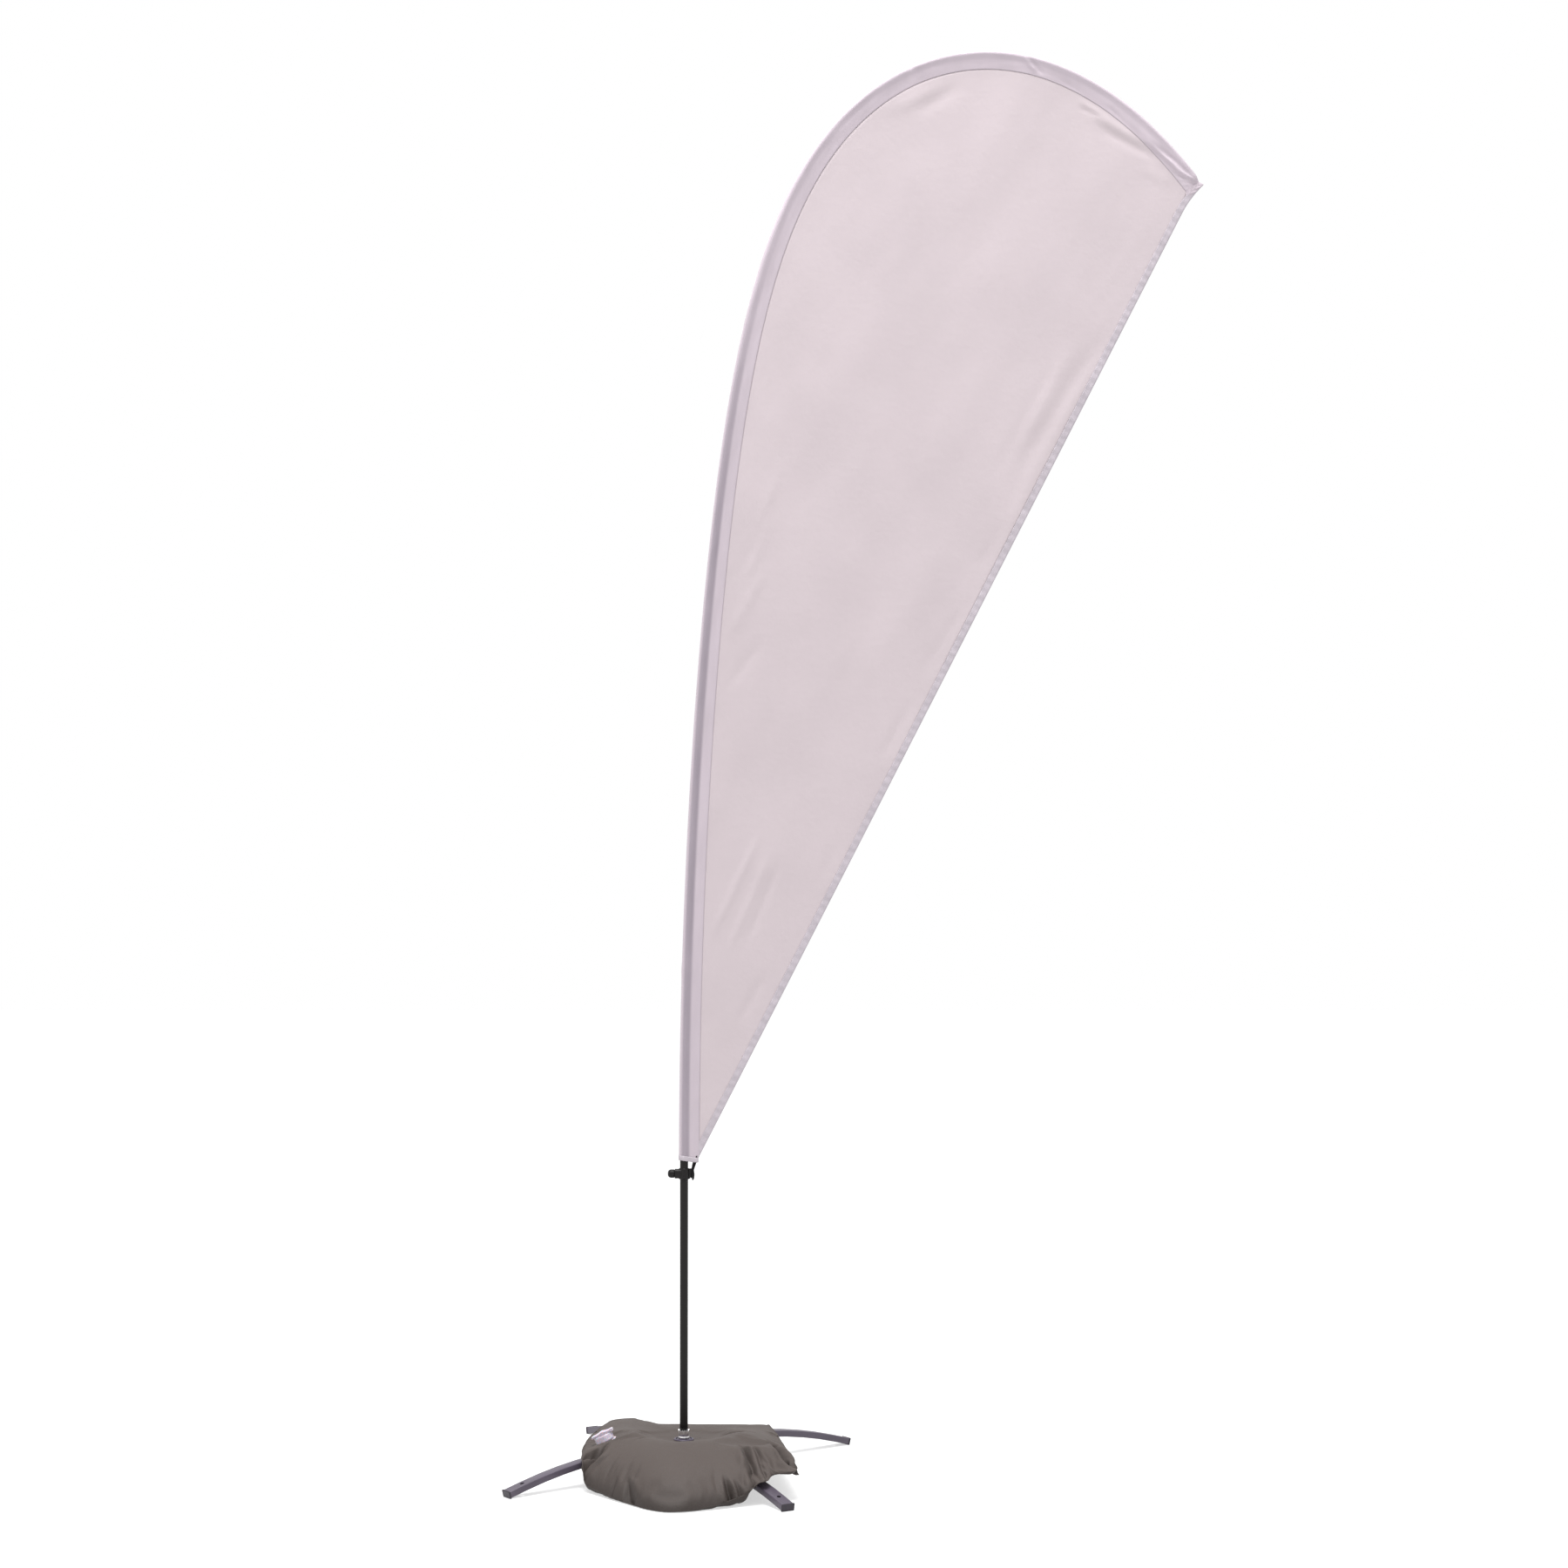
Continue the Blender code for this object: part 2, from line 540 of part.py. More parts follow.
def add_sail(looks, mast):
    sleeve_end = POLE_END + 0.022
    add_sleeve(looks, mast, sleeve_end)
    along = (LEECH_TOP - LEECH_FOOT).normalized()
    inward = Vector((-along.z, 0, along.x))
    hem_edge = LEECH_FOOT + (HEM_WIDTH + GAP) * inward

    seam = [seam_point(s, GAP) for s in stretch(FOOT_AT, sleeve_end)]
    flat_piece("sail_panel", part_inside(seam, hem_edge, inward), PANEL_THICKNESS, looks["panel"], mast)

    def on_leech(x, inset):
        start = LEECH_FOOT + inset * inward
        return start + along * ((x - start.x) / along.x)

    hem_left = SEAM_OFFSET + 2 * GAP
    hem = [on_leech(hem_left, 0.0), LEECH_TOP - along * 0.004,
           LEECH_TOP - along * 0.018 + inward * HEM_WIDTH, on_leech(hem_left, HEM_WIDTH)]
    flat_piece("leech_hem", hem, HEM_THICKNESS, looks["band"], mast)


# ---- clamp ----

def hook_outline():
    """The hook's side view: a web from the collar and a horn that points down, as (x, z)."""
    z = CLAMP_Z
    return [(0.0100, z + 0.0118), (0.0190, z + 0.0122), (0.0232, z + 0.0070), (0.0246, z - 0.0010),
            (0.0240, z - 0.0100), (0.0222, z - 0.0145), (0.0200, z - 0.0155), (0.0186, z - 0.0135),
            (0.0186, z - 0.0085), (0.0172, z - 0.0068), (0.0156, z - 0.0078), (0.0142, z - 0.0112),
            (0.0118, z - 0.0122), (0.0100, z - 0.0122)]


def add_clamp(looks, mast):
    slider = add_empty("clamp_slide_axis", mast, Matrix.Translation((0, 0, CLAMP_Z)))
    settle = Matrix.Translation((0, 0, -CLAMP_Z))
    low, high = CLAMP_Z - CLAMP_HALF_HEIGHT, CLAMP_Z + CLAMP_HALF_HEIGHT
    collar = turned("clamp_collar", [(CLAMP_RADIUS - 0.0008, low), (CLAMP_RADIUS, low + 0.0008),
                                     (CLAMP_RADIUS, high - 0.0008), (CLAMP_RADIUS - 0.0008, high)],
                    looks["dark"], slider, sides=32, ring=False, place=settle)
    bm = bmesh.new()
    prism(bm, [(y, z + CLAMP_Z) for y, z in rounded_rectangle(2 * BOSS_HALF, 2 * BOSS_HALF, 0.006, 4)],
          -BOSS_REACH, -0.006, axis="X")
    boolean(collar, cutter("clamp_boss_shape", bm, slider, settle), "UNION")
    bm = bmesh.new()
    prism(bm, hook_outline(), -HOOK_THICKNESS / 2, HOOK_THICKNESS / 2)
    boolean(collar, cutter("clamp_hook_shape", bm, slider, settle), "UNION")
    bore = vertical_cutter("clamp_bore", SECTION_RADII[0] + GAP, 0, 0, low - 0.01, high + 0.01, slider, 32)
    bore.matrix_local = settle
    boolean(collar, bore, "DIFFERENCE")
    across = Matrix.Rotation(math.radians(-90), 4, "Y")
    bm = bmesh.new()
    skin(bm, turned_loops([(STUD_RADIUS + GAP, 0.005), (STUD_RADIUS + GAP, 0.0135), (0.0052, 0.0135),
                           (0.0052, BOSS_REACH + 0.01)], 24))
    boolean(collar, cutter("clamp_screw_bore", bm, slider, across), "DIFFERENCE")
    turned("clamp_insert", tube_outline(0.0049, STUD_RADIUS + GAP, 0.0138, BOSS_REACH - 0.0006),
           looks["brass"], slider, place=across)
    add_thumbscrew(looks, slider, across)
    add_tension_loop(looks, slider)


def knob_radius(angle):
    """Twelve shallow flutes round the knob."""
    return KNOB_RADIUS - 0.0006 * (0.5 + 0.5 * math.cos(12 * angle))


def add_thumbscrew(looks, slider, across):
    screw = add_empty("thumbscrew_axis", slider, across)
    knob_low = BOSS_REACH + GAP
    stud_end = knob_low + 0.010
    turned("thumbscrew_stud", [(STUD_RADIUS - 0.0008, SECTION_RADII[0] + GAP),
                               (STUD_RADIUS, SECTION_RADII[0] + GAP + 0.0008), (STUD_RADIUS, stud_end)],
           looks["steel"], screw, sides=16, ring=False)
    bore = STUD_RADIUS + GAP
    knob = turned("thumbscrew_knob", [(0.0085, knob_low), (knob_radius, knob_low + 0.0012),
                                      (knob_radius, knob_low + 0.0095), (0.0088, knob_low + 0.0130),
                                      (0.0060, knob_low + 0.0155), (0.0020, knob_low + KNOB_LENGTH)],
                  looks["dark"], screw, sides=48, ring=False)
    bm = bmesh.new()
    skin(bm, turned_loops([(bore, knob_low - 0.01), (bore, stud_end + GAP)], 16))
    boolean(knob, cutter("knob_bore", bm, screw), "DIFFERENCE")


def add_tension_loop(looks, slider):
    """Strap from the sail's foot, down one side of the hook, through its notch and up the other side."""
    top, notch = FOOT_AT - 2 * GAP, CLAMP_Z - 0.0092
    side = HOOK_THICKNESS / 2 + GAP
    down = [(0.0205, side, top, 0.0085), (0.0180, side, CLAMP_Z + 0.008, 0.0070),
            (0.0171, side, notch + 0.001, 0.0024), (0.0171, side * 0.7, notch, 0.0024)]
    path = down + [(x, -y, z, width) for x, y, z, width in reversed(down)]
    loops = []
    for k, (x, y, z, width) in enumerate(path):
        before, after = path[max(k - 1, 0)], path[min(k + 1, len(path) - 1)]
        run = Vector((0, after[1] - before[1], after[2] - before[2])).normalized()
        outward = Vector((0, -run.z, run.y))
        edge = Vector((width / 2, 0, 0))
        centre = Vector((x, y, z))
        skin_low, skin_high = centre, centre + outward * LOOP_THICKNESS
        loops.append([skin_low - edge, skin_low + edge, skin_high + edge, skin_high - edge])
    bm = bmesh.new()
    skin(bm, loops)
    settle = Matrix.Translation((0, 0, -CLAMP_Z))
    add_object("tension_loop", bm, looks["strap"], slider, settle, smooth=False)


# ---- water bag ----

# Places on the bag's seam, anticlockwise, each with the share of its sides that is rounded off
BAG_EDGE = (
    (Vector((0.219, -0.040, 0.067)), 0.50),   # right, over the folding arm's way
    (Vector((0.190, 0.215, 0.060)), 0.16),    # back right corner, just past the arm
    (Vector((0.000, 0.262, 0.030)), 0.50),    # back, hanging between the arms
    (Vector((-0.182, 0.276, 0.052)), 0.16),   # back left corner, on the lower arm
    (Vector((-0.236, -0.020, 0.066)), 0.50),  # left, over the folding arm's way
    (Vector((-0.224, -0.280, 0.020)), 0.16),  # front left corner, past the arm
    (Vector((-0.010, -0.436, 0.005)), 0.50),  # front, on the ground
    (Vector((0.270, -0.312, 0.070)), 0.14),   # front right corner, a flap in the air
)
OUTLINE_STEPS = 12


def bag_outline():
    """Points evenly spaced along the seam, which is straight between its rounded corners."""
    fine = []
    count = len(BAG_EDGE)
    for k, (corner, share) in enumerate(BAG_EDGE):
        start = corner.lerp(BAG_EDGE[k - 1][0], share)
        end = corner.lerp(BAG_EDGE[(k + 1) % count][0], share)
        for step in range(OUTLINE_STEPS + 1):
            t = step / OUTLINE_STEPS
            fine.append(start.lerp(corner, t).lerp(corner.lerp(end, t), t))
    fine.append(fine[0])
    lengths = [0.0]
    for p, q in zip(fine, fine[1:]):
        lengths.append(lengths[-1] + (q - p).length)
    points = []
    segment = 0
    for k in range(BAG_SIDES):
        target = lengths[-1] * k / BAG_SIDES
        while lengths[segment + 1] < target:
            segment += 1
        span = lengths[segment + 1] - lengths[segment]
        points.append(fine[segment].lerp(fine[segment + 1], (target - lengths[segment]) / span))
    return points


def ease(value):
    value = min(1.0, max(0.0, value))
    return value * value * (3 - 2 * value)


def sag(point):
    """0 where the bag lies over the arms or their way, 1 well inside the front or back gap."""
    def beyond(angle):
        return -point.x * math.sin(angle) + point.y * math.cos(angle)
    upper, lower = beyond(UPPER_ARM_ANGLE), beyond(LOWER_ARM_ANGLE)
    front = min(-upper, lower)
    back = min(upper, -lower)
    return ease((max(front, back) - SAG_START) / SAG_WIDTH)


def over_arms(point):
    return arm_top(point.xy.length) + ARM_CLEARANCE


def seam_height(edge):
    """The seam's height: its own over a gap, and never under the arms' tops elsewhere."""
    floor = over_arms(edge) + 0.0012
    return edge.z if edge.z > floor else floor + (edge.z - floor) * sag(edge)


def crown(edge):
    """The top's bulge towards a place on the seam: most in front, least at the back."""
    front = 0.5 - 0.5 * edge.xy.normalized().y
    return BAG_BACK_CROWN + (BAG_FRONT_CROWN - BAG_BACK_CROWN) * front


def bag_point(edge, part, top):
    """A point of the bag's upper or lower skin; part runs from the weld (0) to the seam (1)."""
    inner = edge.xy.normalized() * BAG_WELD_RADIUS
    flat = inner.lerp(edge.xy, part).to_3d()
    lowest = over_arms(flat)
    if not top:
        ground = BAG_GROUND + BAG_ARCH * (1 - ease(part / 0.45))
        return Vector((flat.x, flat.y, lowest + (ground - lowest) * sag(flat)))
    height = BAG_WELD_TOP + (seam_height(edge) - BAG_WELD_TOP) * part ** 2.2
    height += crown(edge) * math.sin(math.pi * part ** 0.85) ** 1.3
    if math.hypot(flat.x - CAP_AT.x, flat.y - CAP_AT.y) < 2.3 * FLANGE_RADIUS:
        height = min(height, cap_plane(flat.x) - 5 * GAP)
    return Vector((flat.x, flat.y, height))


def add_bag(looks, lift):
    edges = bag_outline()
    parts = [(k + 1) / BAG_RINGS for k in range(BAG_RINGS - 1)]

    def circle(radius, height):
        return [(e.xy.normalized() * radius).to_3d() + Vector((0, 0, height)) for e in edges]

    def seam(offset):
        return [Vector((e.x, e.y, seam_height(e) + offset)) for e in edges]

    loops = [circle(BAG_HOLE_RADIUS, BAG_WELD_TOP), circle(BAG_WELD_RADIUS, BAG_WELD_TOP)]
    loops += [[bag_point(e, p, True) for e in edges] for p in parts]
    loops += [seam(0.0008), seam(-0.0008)]
    loops += [[bag_point(e, p, False) for e in edges] for p in reversed(parts)]
    loops += [circle(BAG_WELD_RADIUS, BAG_WELD_BOTTOM), circle(BAG_HOLE_RADIUS, BAG_WELD_BOTTOM)]
    bm = bmesh.new()
    skin(bm, loops, ring=True)
    add_object("water_bag", bm, looks["bag"], lift)
    low = BAG_WELD_TOP + GAP
    turned("bag_grommet", tube_outline(GROMMET_OUTER, GROMMET_INNER, low, low + GROMMET_HEIGHT, 0.0008),
           looks["ring"], lift, sides=32)


def cap_plane(x):
    """Height of the filling flange's tilted underside, which falls away to the left."""
    return CAP_AT.z - (x - CAP_AT.x) * math.tan(CAP_TILT)


def add_filler(looks, lift):
    """Flange and neck welded to the bag, seal and winged cap that screws off them."""
    place = Matrix.Translation(CAP_AT) @ Matrix.Rotation(CAP_TILT, 4, "Y")
    turned("fill_flange", [(NECK_BORE, 0.0), (FLANGE_RADIUS, 0.0), (FLANGE_RADIUS, 0.0012),
                           (FLANGE_RADIUS - 0.0010, 0.0020), (NECK_RADIUS, 0.0026),
                           (NECK_RADIUS, NECK_HEIGHT), (NECK_BORE, NECK_HEIGHT)],
           looks["cap"], lift, sides=32, place=place)
    screw = add_empty("fill_cap_axis", lift, place)
    roof = NECK_HEIGHT + 0.0016
    bore = NECK_RADIUS + 0.0005
    turned("cap_seal", tube_outline(NECK_RADIUS - GAP, NECK_BORE, NECK_HEIGHT + GAP, roof - GAP),
           looks["nylon"], screw, sides=32)
    top = roof + CAP_ROOF
    cap = turned("fill_cap", [(bore, top - CAP_HEIGHT), (CAP_RADIUS, top - CAP_HEIGHT),
                              (CAP_RADIUS, top - 0.0010), (CAP_RADIUS - 0.0010, top), (0.004, top),
                              (0.004, roof), (bore, roof)], looks["cap"], screw, sides=32)
    bm = bmesh.new()
    prism(bm, rounded_rectangle(WING_LENGTH, WING_WIDTH, WING_WIDTH / 2 - 0.001, 5),
          roof + 0.0010, top + WING_THICKNESS, axis="Z")
    boolean(cap, cutter("cap_wings", bm, screw), "UNION")


def main():
    clear_scene()
    looks = make_materials()
    frame = add_empty("flag", None, Matrix.Translation((SPINDLE_X, 0, 0)))
    rotor = add_empty("flag_spin_axis", frame, Matrix.Identity(4))
    mast = add_empty("mast_lift_axis", rotor, Matrix.Identity(4))
    lift = add_empty("bag_lift_axis", frame, Matrix.Identity(4))
    add_base(looks, frame)
    add_pivot(looks, frame)
    add_bearing(looks, frame, rotor)
    add_rotor(looks, rotor)
    add_pole(looks, mast)
    add_sail(looks, mast)
    add_clamp(looks, mast)
    add_bag(looks, lift)
    add_filler(looks, lift)


main()
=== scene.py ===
"""Looks of a teardrop flag: sail, sleeve, pole and strap, clamp, folding cross base and water bag."""

import json
import math

import bmesh
import bpy
from mathutils import Matrix, Vector, noise


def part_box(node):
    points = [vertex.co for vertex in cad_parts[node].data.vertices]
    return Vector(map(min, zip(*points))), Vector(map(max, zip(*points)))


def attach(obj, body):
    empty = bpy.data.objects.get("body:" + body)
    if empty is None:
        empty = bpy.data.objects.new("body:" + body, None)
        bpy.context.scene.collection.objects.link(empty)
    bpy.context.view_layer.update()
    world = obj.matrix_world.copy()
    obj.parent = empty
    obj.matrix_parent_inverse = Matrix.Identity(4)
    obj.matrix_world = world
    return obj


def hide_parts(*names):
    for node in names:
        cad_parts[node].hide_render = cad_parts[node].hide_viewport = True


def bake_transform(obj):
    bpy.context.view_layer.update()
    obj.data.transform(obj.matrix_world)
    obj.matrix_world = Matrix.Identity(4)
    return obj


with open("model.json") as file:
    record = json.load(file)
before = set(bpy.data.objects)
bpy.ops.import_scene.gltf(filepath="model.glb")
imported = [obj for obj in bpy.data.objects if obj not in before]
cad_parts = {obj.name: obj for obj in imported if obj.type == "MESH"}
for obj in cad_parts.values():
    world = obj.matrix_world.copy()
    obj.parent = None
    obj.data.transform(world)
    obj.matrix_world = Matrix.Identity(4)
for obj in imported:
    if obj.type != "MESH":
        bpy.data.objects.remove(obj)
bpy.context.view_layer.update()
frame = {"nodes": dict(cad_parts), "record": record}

BASE, FOLDING, ROTOR, MAST, CLAMP, KNOB, BAG, CAP = (
    "base", "folding_arm", "rotor", "mast", "clamp", "screw_knob", "bag", "cap")


# ---- materials ----

class Socket:
    """A shader value that takes part in Python arithmetic."""

    def __init__(self, finish, link):
        self.finish, self.link = finish, link

    def maths(self, operation, *others):
        values = {0: self}
        values.update({k + 1: other for k, other in enumerate(others)})
        return self.finish.node("ShaderNodeMath", {"operation": operation}, values)

    def __add__(self, other):
        return self.maths("ADD", other)

    def __sub__(self, other):
        return self.maths("SUBTRACT", other)

    def __mul__(self, other):
        return self.maths("MULTIPLY", other)

    def __truediv__(self, other):
        return self.maths("DIVIDE", other)

    def __rsub__(self, other):
        return self * -1.0 + other

    __radd__ = __add__
    __rmul__ = __mul__


class Finish:
    """A material that grows out from its Principled shader."""

    def __init__(self, name, colour, roughness, **shader):
        self.material = bpy.data.materials.new(name)
        self.material.use_nodes = True
        self.tree = self.material.node_tree
        self.shader = self.tree.nodes["Principled BSDF"]
        self.colour = (*colour, 1.0)
        self.set("Base Color", self.colour)
        self.set("Roughness", roughness)
        for socket, value in shader.items():
            self.set(socket.replace("_", " "), value)

    def node(self, kind, settings=None, inputs=None, output=0):
        """Add a node; its settings come first, then the values or links of its sockets."""
        made = self.tree.nodes.new(kind)
        for key, value in (settings or {}).items():
            if key == "stops":
                ramp = made.color_ramp
                while len(ramp.elements) < len(value):
                    ramp.elements.new(0.5)
                for element, (place, shade) in zip(ramp.elements, value):
                    element.position = place
                    element.color = shade
            else:
                setattr(made, key, value)
        for key, value in (inputs or {}).items():
            self.join(made.inputs[key], value)
        return Socket(self, made.outputs[output])

    def join(self, socket, value):
        if isinstance(value, Socket):
            self.tree.links.new(value.link, socket)
        else:
            socket.default_value = value

    def set(self, name, value):
        self.join(self.shader.inputs[name], value)

    def place(self):
        return self.node("ShaderNodeTexCoord", output="Object")

    def along_and_across(self):
        """The piece's own UV map, in metres: (along, across)."""
        uv = self.node("ShaderNodeUVMap", {"uv_map": "cloth"})
        return (self.node("ShaderNodeSeparateXYZ", inputs={0: uv}, output="X"),
                self.node("ShaderNodeSeparateXYZ", inputs={0: uv}, output="Y"))

    def stretched(self, place, factors):
        return self.node("ShaderNodeVectorMath", {"operation": "MULTIPLY"}, {0: place, 1: factors})

    def grain(self, place, scale, detail=2.0, roughness=0.5):
        """Noise round 0.5 at a number of grains to the metre."""
        return self.node("ShaderNodeTexNoise", inputs={"Vector": place, "Scale": scale, "Detail": detail,
                                                       "Roughness": roughness}, output="Fac")

    def step(self, value, low, high, start=0.0, end=1.0):
        """Smooth change from start to end as value goes from low to high."""
        return self.node("ShaderNodeMapRange", {"interpolation_type": "SMOOTHSTEP"},
                         {0: value, 1: low, 2: high, 3: start, 4: end})

    def blend(self, part, one, other):
        """Colour one where part is 0, other where it is 1."""
        return self.node("ShaderNodeMix", {"data_type": "RGBA"}, {0: part, 6: one, 7: other}, output=2)

    def mottle(self, value, low, high, dark, light):
        """Base colour that goes from a darker to a lighter shade as value goes from low to high."""
        self.set("Base Color", self.blend(self.step(value, low, high), shade(self.colour, dark),
                                          shade(self.colour, light)))

    def bump(self, height, distance, under=None):
        inputs = {"Height": height, "Distance": distance, "Strength": 1.0}
        if under is not None:
            inputs["Normal"] = under
        return self.node("ShaderNodeBump", inputs=inputs, output="Normal")

    def threads(self, along, across, pitch):
        """Height of a plain weave: threads over and under each other."""
        turns = 2 * math.pi / pitch
        return (along * turns).maths("SINE") * (across * turns).maths("SINE")


def srgb(red, green, blue):
    """Linear colour of an everyday 0-255 one."""
    return tuple((c / 255 / 12.92) if c <= 10 else ((c / 255 + 0.055) / 1.055) ** 2.4
                 for c in (red, green, blue))


def shade(colour, factor):
    return (*(min(1.0, c * factor) for c in colour[:3]), 1.0)


def sail_cloth():
    """Thin knitted polyester, nearly flat in colour, with a slight sheen."""
    finish = Finish("sail_cloth", srgb(182, 171, 175), 0.75, Specular_IOR_Level=0.3, Sheen_Weight=0.05)
    along, across = finish.along_and_across()
    cloudy = finish.grain(finish.place(), 5.0, 3.0)
    finish.mottle(cloudy, 0.3, 0.7, 0.975, 1.02)
    finish.set("Roughness", 0.68 + 0.10 * cloudy)
    knit = finish.bump(finish.threads(along, across, 0.0011), 0.00004)
    finish.set("Normal", finish.bump(finish.grain(finish.place(), 60.0, 3.0), 0.0006, knit))
    return finish.material


def sleeve_cloth():
    """Two layers of sail cloth, with the dark pole showing through where they lie on it and painted shade
    on the round of the pole.
    """
    finish = Finish("sleeve_cloth", srgb(180, 169, 177), 0.7, Specular_IOR_Level=0.3, Sheen_Weight=0.05)
    along, across = finish.along_and_across()
    # the dark band over the pole: the pole showing through, with painted shade on its shaded side
    from_pole = (across + 0.003).maths("ABSOLUTE")
    over_pole = finish.step(from_pole, 0.005, 0.013, 1.0, 0.0)
    thick_pole = finish.step(along, 2.2, 3.0, 1.0, 0.25)
    soft = finish.grain(finish.stretched(finish.place(), (1.0, 1.0, 0.25)), 22.0, 3.0)
    shadow = over_pole * thick_pole * (0.62 + 0.5 * soft)
    seam = finish.step(across, -0.0355, -0.0300, 0.5, 0.0)
    base = finish.blend(finish.step(soft, 0.25, 0.75), shade(finish.colour, 0.96),
                        shade(finish.colour, 1.03))
    base = finish.blend(seam, base, shade(finish.colour, 0.88))
    finish.set("Base Color", finish.blend(shadow, base, (*srgb(138, 129, 138), 1.0)))
    knit = finish.bump(finish.threads(along, across, 0.0011), 0.00004)
    finish.set("Normal", finish.bump(soft, 0.0012, knit))
    return finish.material


def hem_cloth():
    """The hem's folded cloth: three layers, so greyer, with a faint ripple from its stitching."""
    finish = Finish("hem_cloth", srgb(173, 165, 172), 0.72, Specular_IOR_Level=0.3, Sheen_Weight=0.05)
    along, across = finish.along_and_across()
    ripple = (along * (2 * math.pi / 0.021) + 4.0 * finish.grain(finish.place(), 12.0)).maths("SINE")
    uneven = finish.grain(finish.place(), 28.0, 3.0)
    finish.mottle(uneven, 0.3, 0.75, 0.93, 1.04)
    knit = finish.bump(finish.threads(along, across, 0.0011), 0.00004)
    finish.set("Normal", finish.bump(ripple, 0.0004, knit))
    return finish.material


def strap_webbing():
    """Black polyester webbing, woven in ribs across its length."""
    finish = Finish("strap_webbing", srgb(14, 12, 14), 0.8, Specular_IOR_Level=0.2)
    along, across = finish.along_and_across()
    ribs = finish.threads(along, across, 0.0016)
    # painted light and shade of the ribs: crests lighter, grooves darker
    finish.mottle(ribs, -1.0, 1.0, 0.6, 1.5)
    finish.set("Normal", finish.bump(ribs, 0.00025))
    return finish.material


def fibre_pole():
    """Glass-fibre tube under black paint, with fine scuffs from its neighbours along it."""
    finish = Finish("fibre_pole", srgb(20, 18, 17), 0.5, Specular_IOR_Level=0.22)
    place = finish.place()
    scuffs = finish.grain(finish.stretched(place, (1.0, 1.0, 0.03)), 900.0, 3.0)
    wear = finish.grain(place, 14.0, 4.0)
    finish.set("Base Color", finish.blend(finish.step(scuffs, 0.55, 0.8) * finish.step(wear, 0.45, 0.7),
                                          finish.colour, shade(finish.colour, 1.9)))
    finish.set("Roughness", 0.36 + 0.2 * wear)
    finish.set("Normal", finish.bump(scuffs, 0.00006))
    return finish.material


def moulded_plastic(name, colour, roughness=0.42, gloss=0.35):
    """Moulded plastic with a fine spark-eroded texture and slightly polished high places."""
    finish = Finish(name, colour, roughness, Specular_IOR_Level=gloss)
    place = finish.place()
    texture = finish.grain(place, 2600.0, 2.0)
    handled = finish.grain(place, 90.0, 3.0)
    finish.mottle(handled, 0.35, 0.75, 0.9, 1.25)
    finish.set("Roughness", roughness - 0.06 + 0.18 * handled)
    finish.set("Normal", finish.bump(texture, 0.00006))
    return finish.material


def clear_plastic():
    """Milky soft plastic, lilac-white, that light goes into."""
    finish = Finish("milky_plastic", srgb(178, 168, 181), 0.34, Subsurface_Weight=0.35,
                    Subsurface_Scale=0.004, Coat_Weight=0.2, Coat_Roughness=0.2)
    place = finish.place()
    flow = finish.grain(finish.stretched(place, (1.0, 1.0, 0.4)), 120.0, 3.0)
    finish.mottle(flow, 0.3, 0.75, 0.86, 1.05)
    finish.set("Roughness", 0.28 + 0.14 * flow)
    finish.set("Normal", finish.bump(finish.grain(place, 700.0), 0.00008))
    return finish.material


def arm_paint():
    """Violet-grey powder paint on steel tube: orange peel, dust, and rubbed patches."""
    finish = Finish("arm_paint", srgb(74, 67, 79), 0.44, Specular_IOR_Level=0.35, Coat_Weight=0.06,
                    Coat_Roughness=0.35)
    place = finish.place()
    flake = finish.grain(place, 1800.0, 1.0)
    dust = finish.grain(place, 9.0, 5.0, 0.6)
    patches = finish.grain(finish.stretched(place, (1.0, 1.0, 3.0)), 45.0, 5.0, 0.65)
    rubbed = finish.step(patches, 0.66, 0.74)
    base = finish.blend(finish.step(dust, 0.35, 0.7), shade(finish.colour, 0.9), shade(finish.colour, 1.12))
    base = finish.blend(finish.step(flake, 0.62, 0.8) * 0.35, base, shade(finish.colour, 1.8))
    finish.set("Base Color", finish.blend(rubbed * 0.5, base, shade(finish.colour, 0.62)))
    finish.set("Roughness", 0.34 + 0.16 * dust + 0.12 * rubbed)
    peel = finish.bump(finish.grain(place, 420.0, 2.0), 0.00012)
    finish.set("Normal", finish.bump(rubbed, -0.00005, peel))
    return finish.material


def plated_steel(name, colour, roughness):
    """Plated steel with fine brushing round it and a few cloudy patches."""
    finish = Finish(name, colour, roughness, Metallic=1.0)
    place = finish.place()
    brushing = finish.grain(finish.stretched(place, (0.15, 0.15, 1.0)), 3000.0, 2.0)
    cloudy = finish.grain(place, 160.0, 3.0)
    finish.mottle(cloudy, 0.3, 0.7, 0.82, 1.08)
    finish.set("Roughness", roughness + 0.14 * cloudy)
    finish.set("Normal", finish.bump(brushing, 0.00002))
    return finish.material


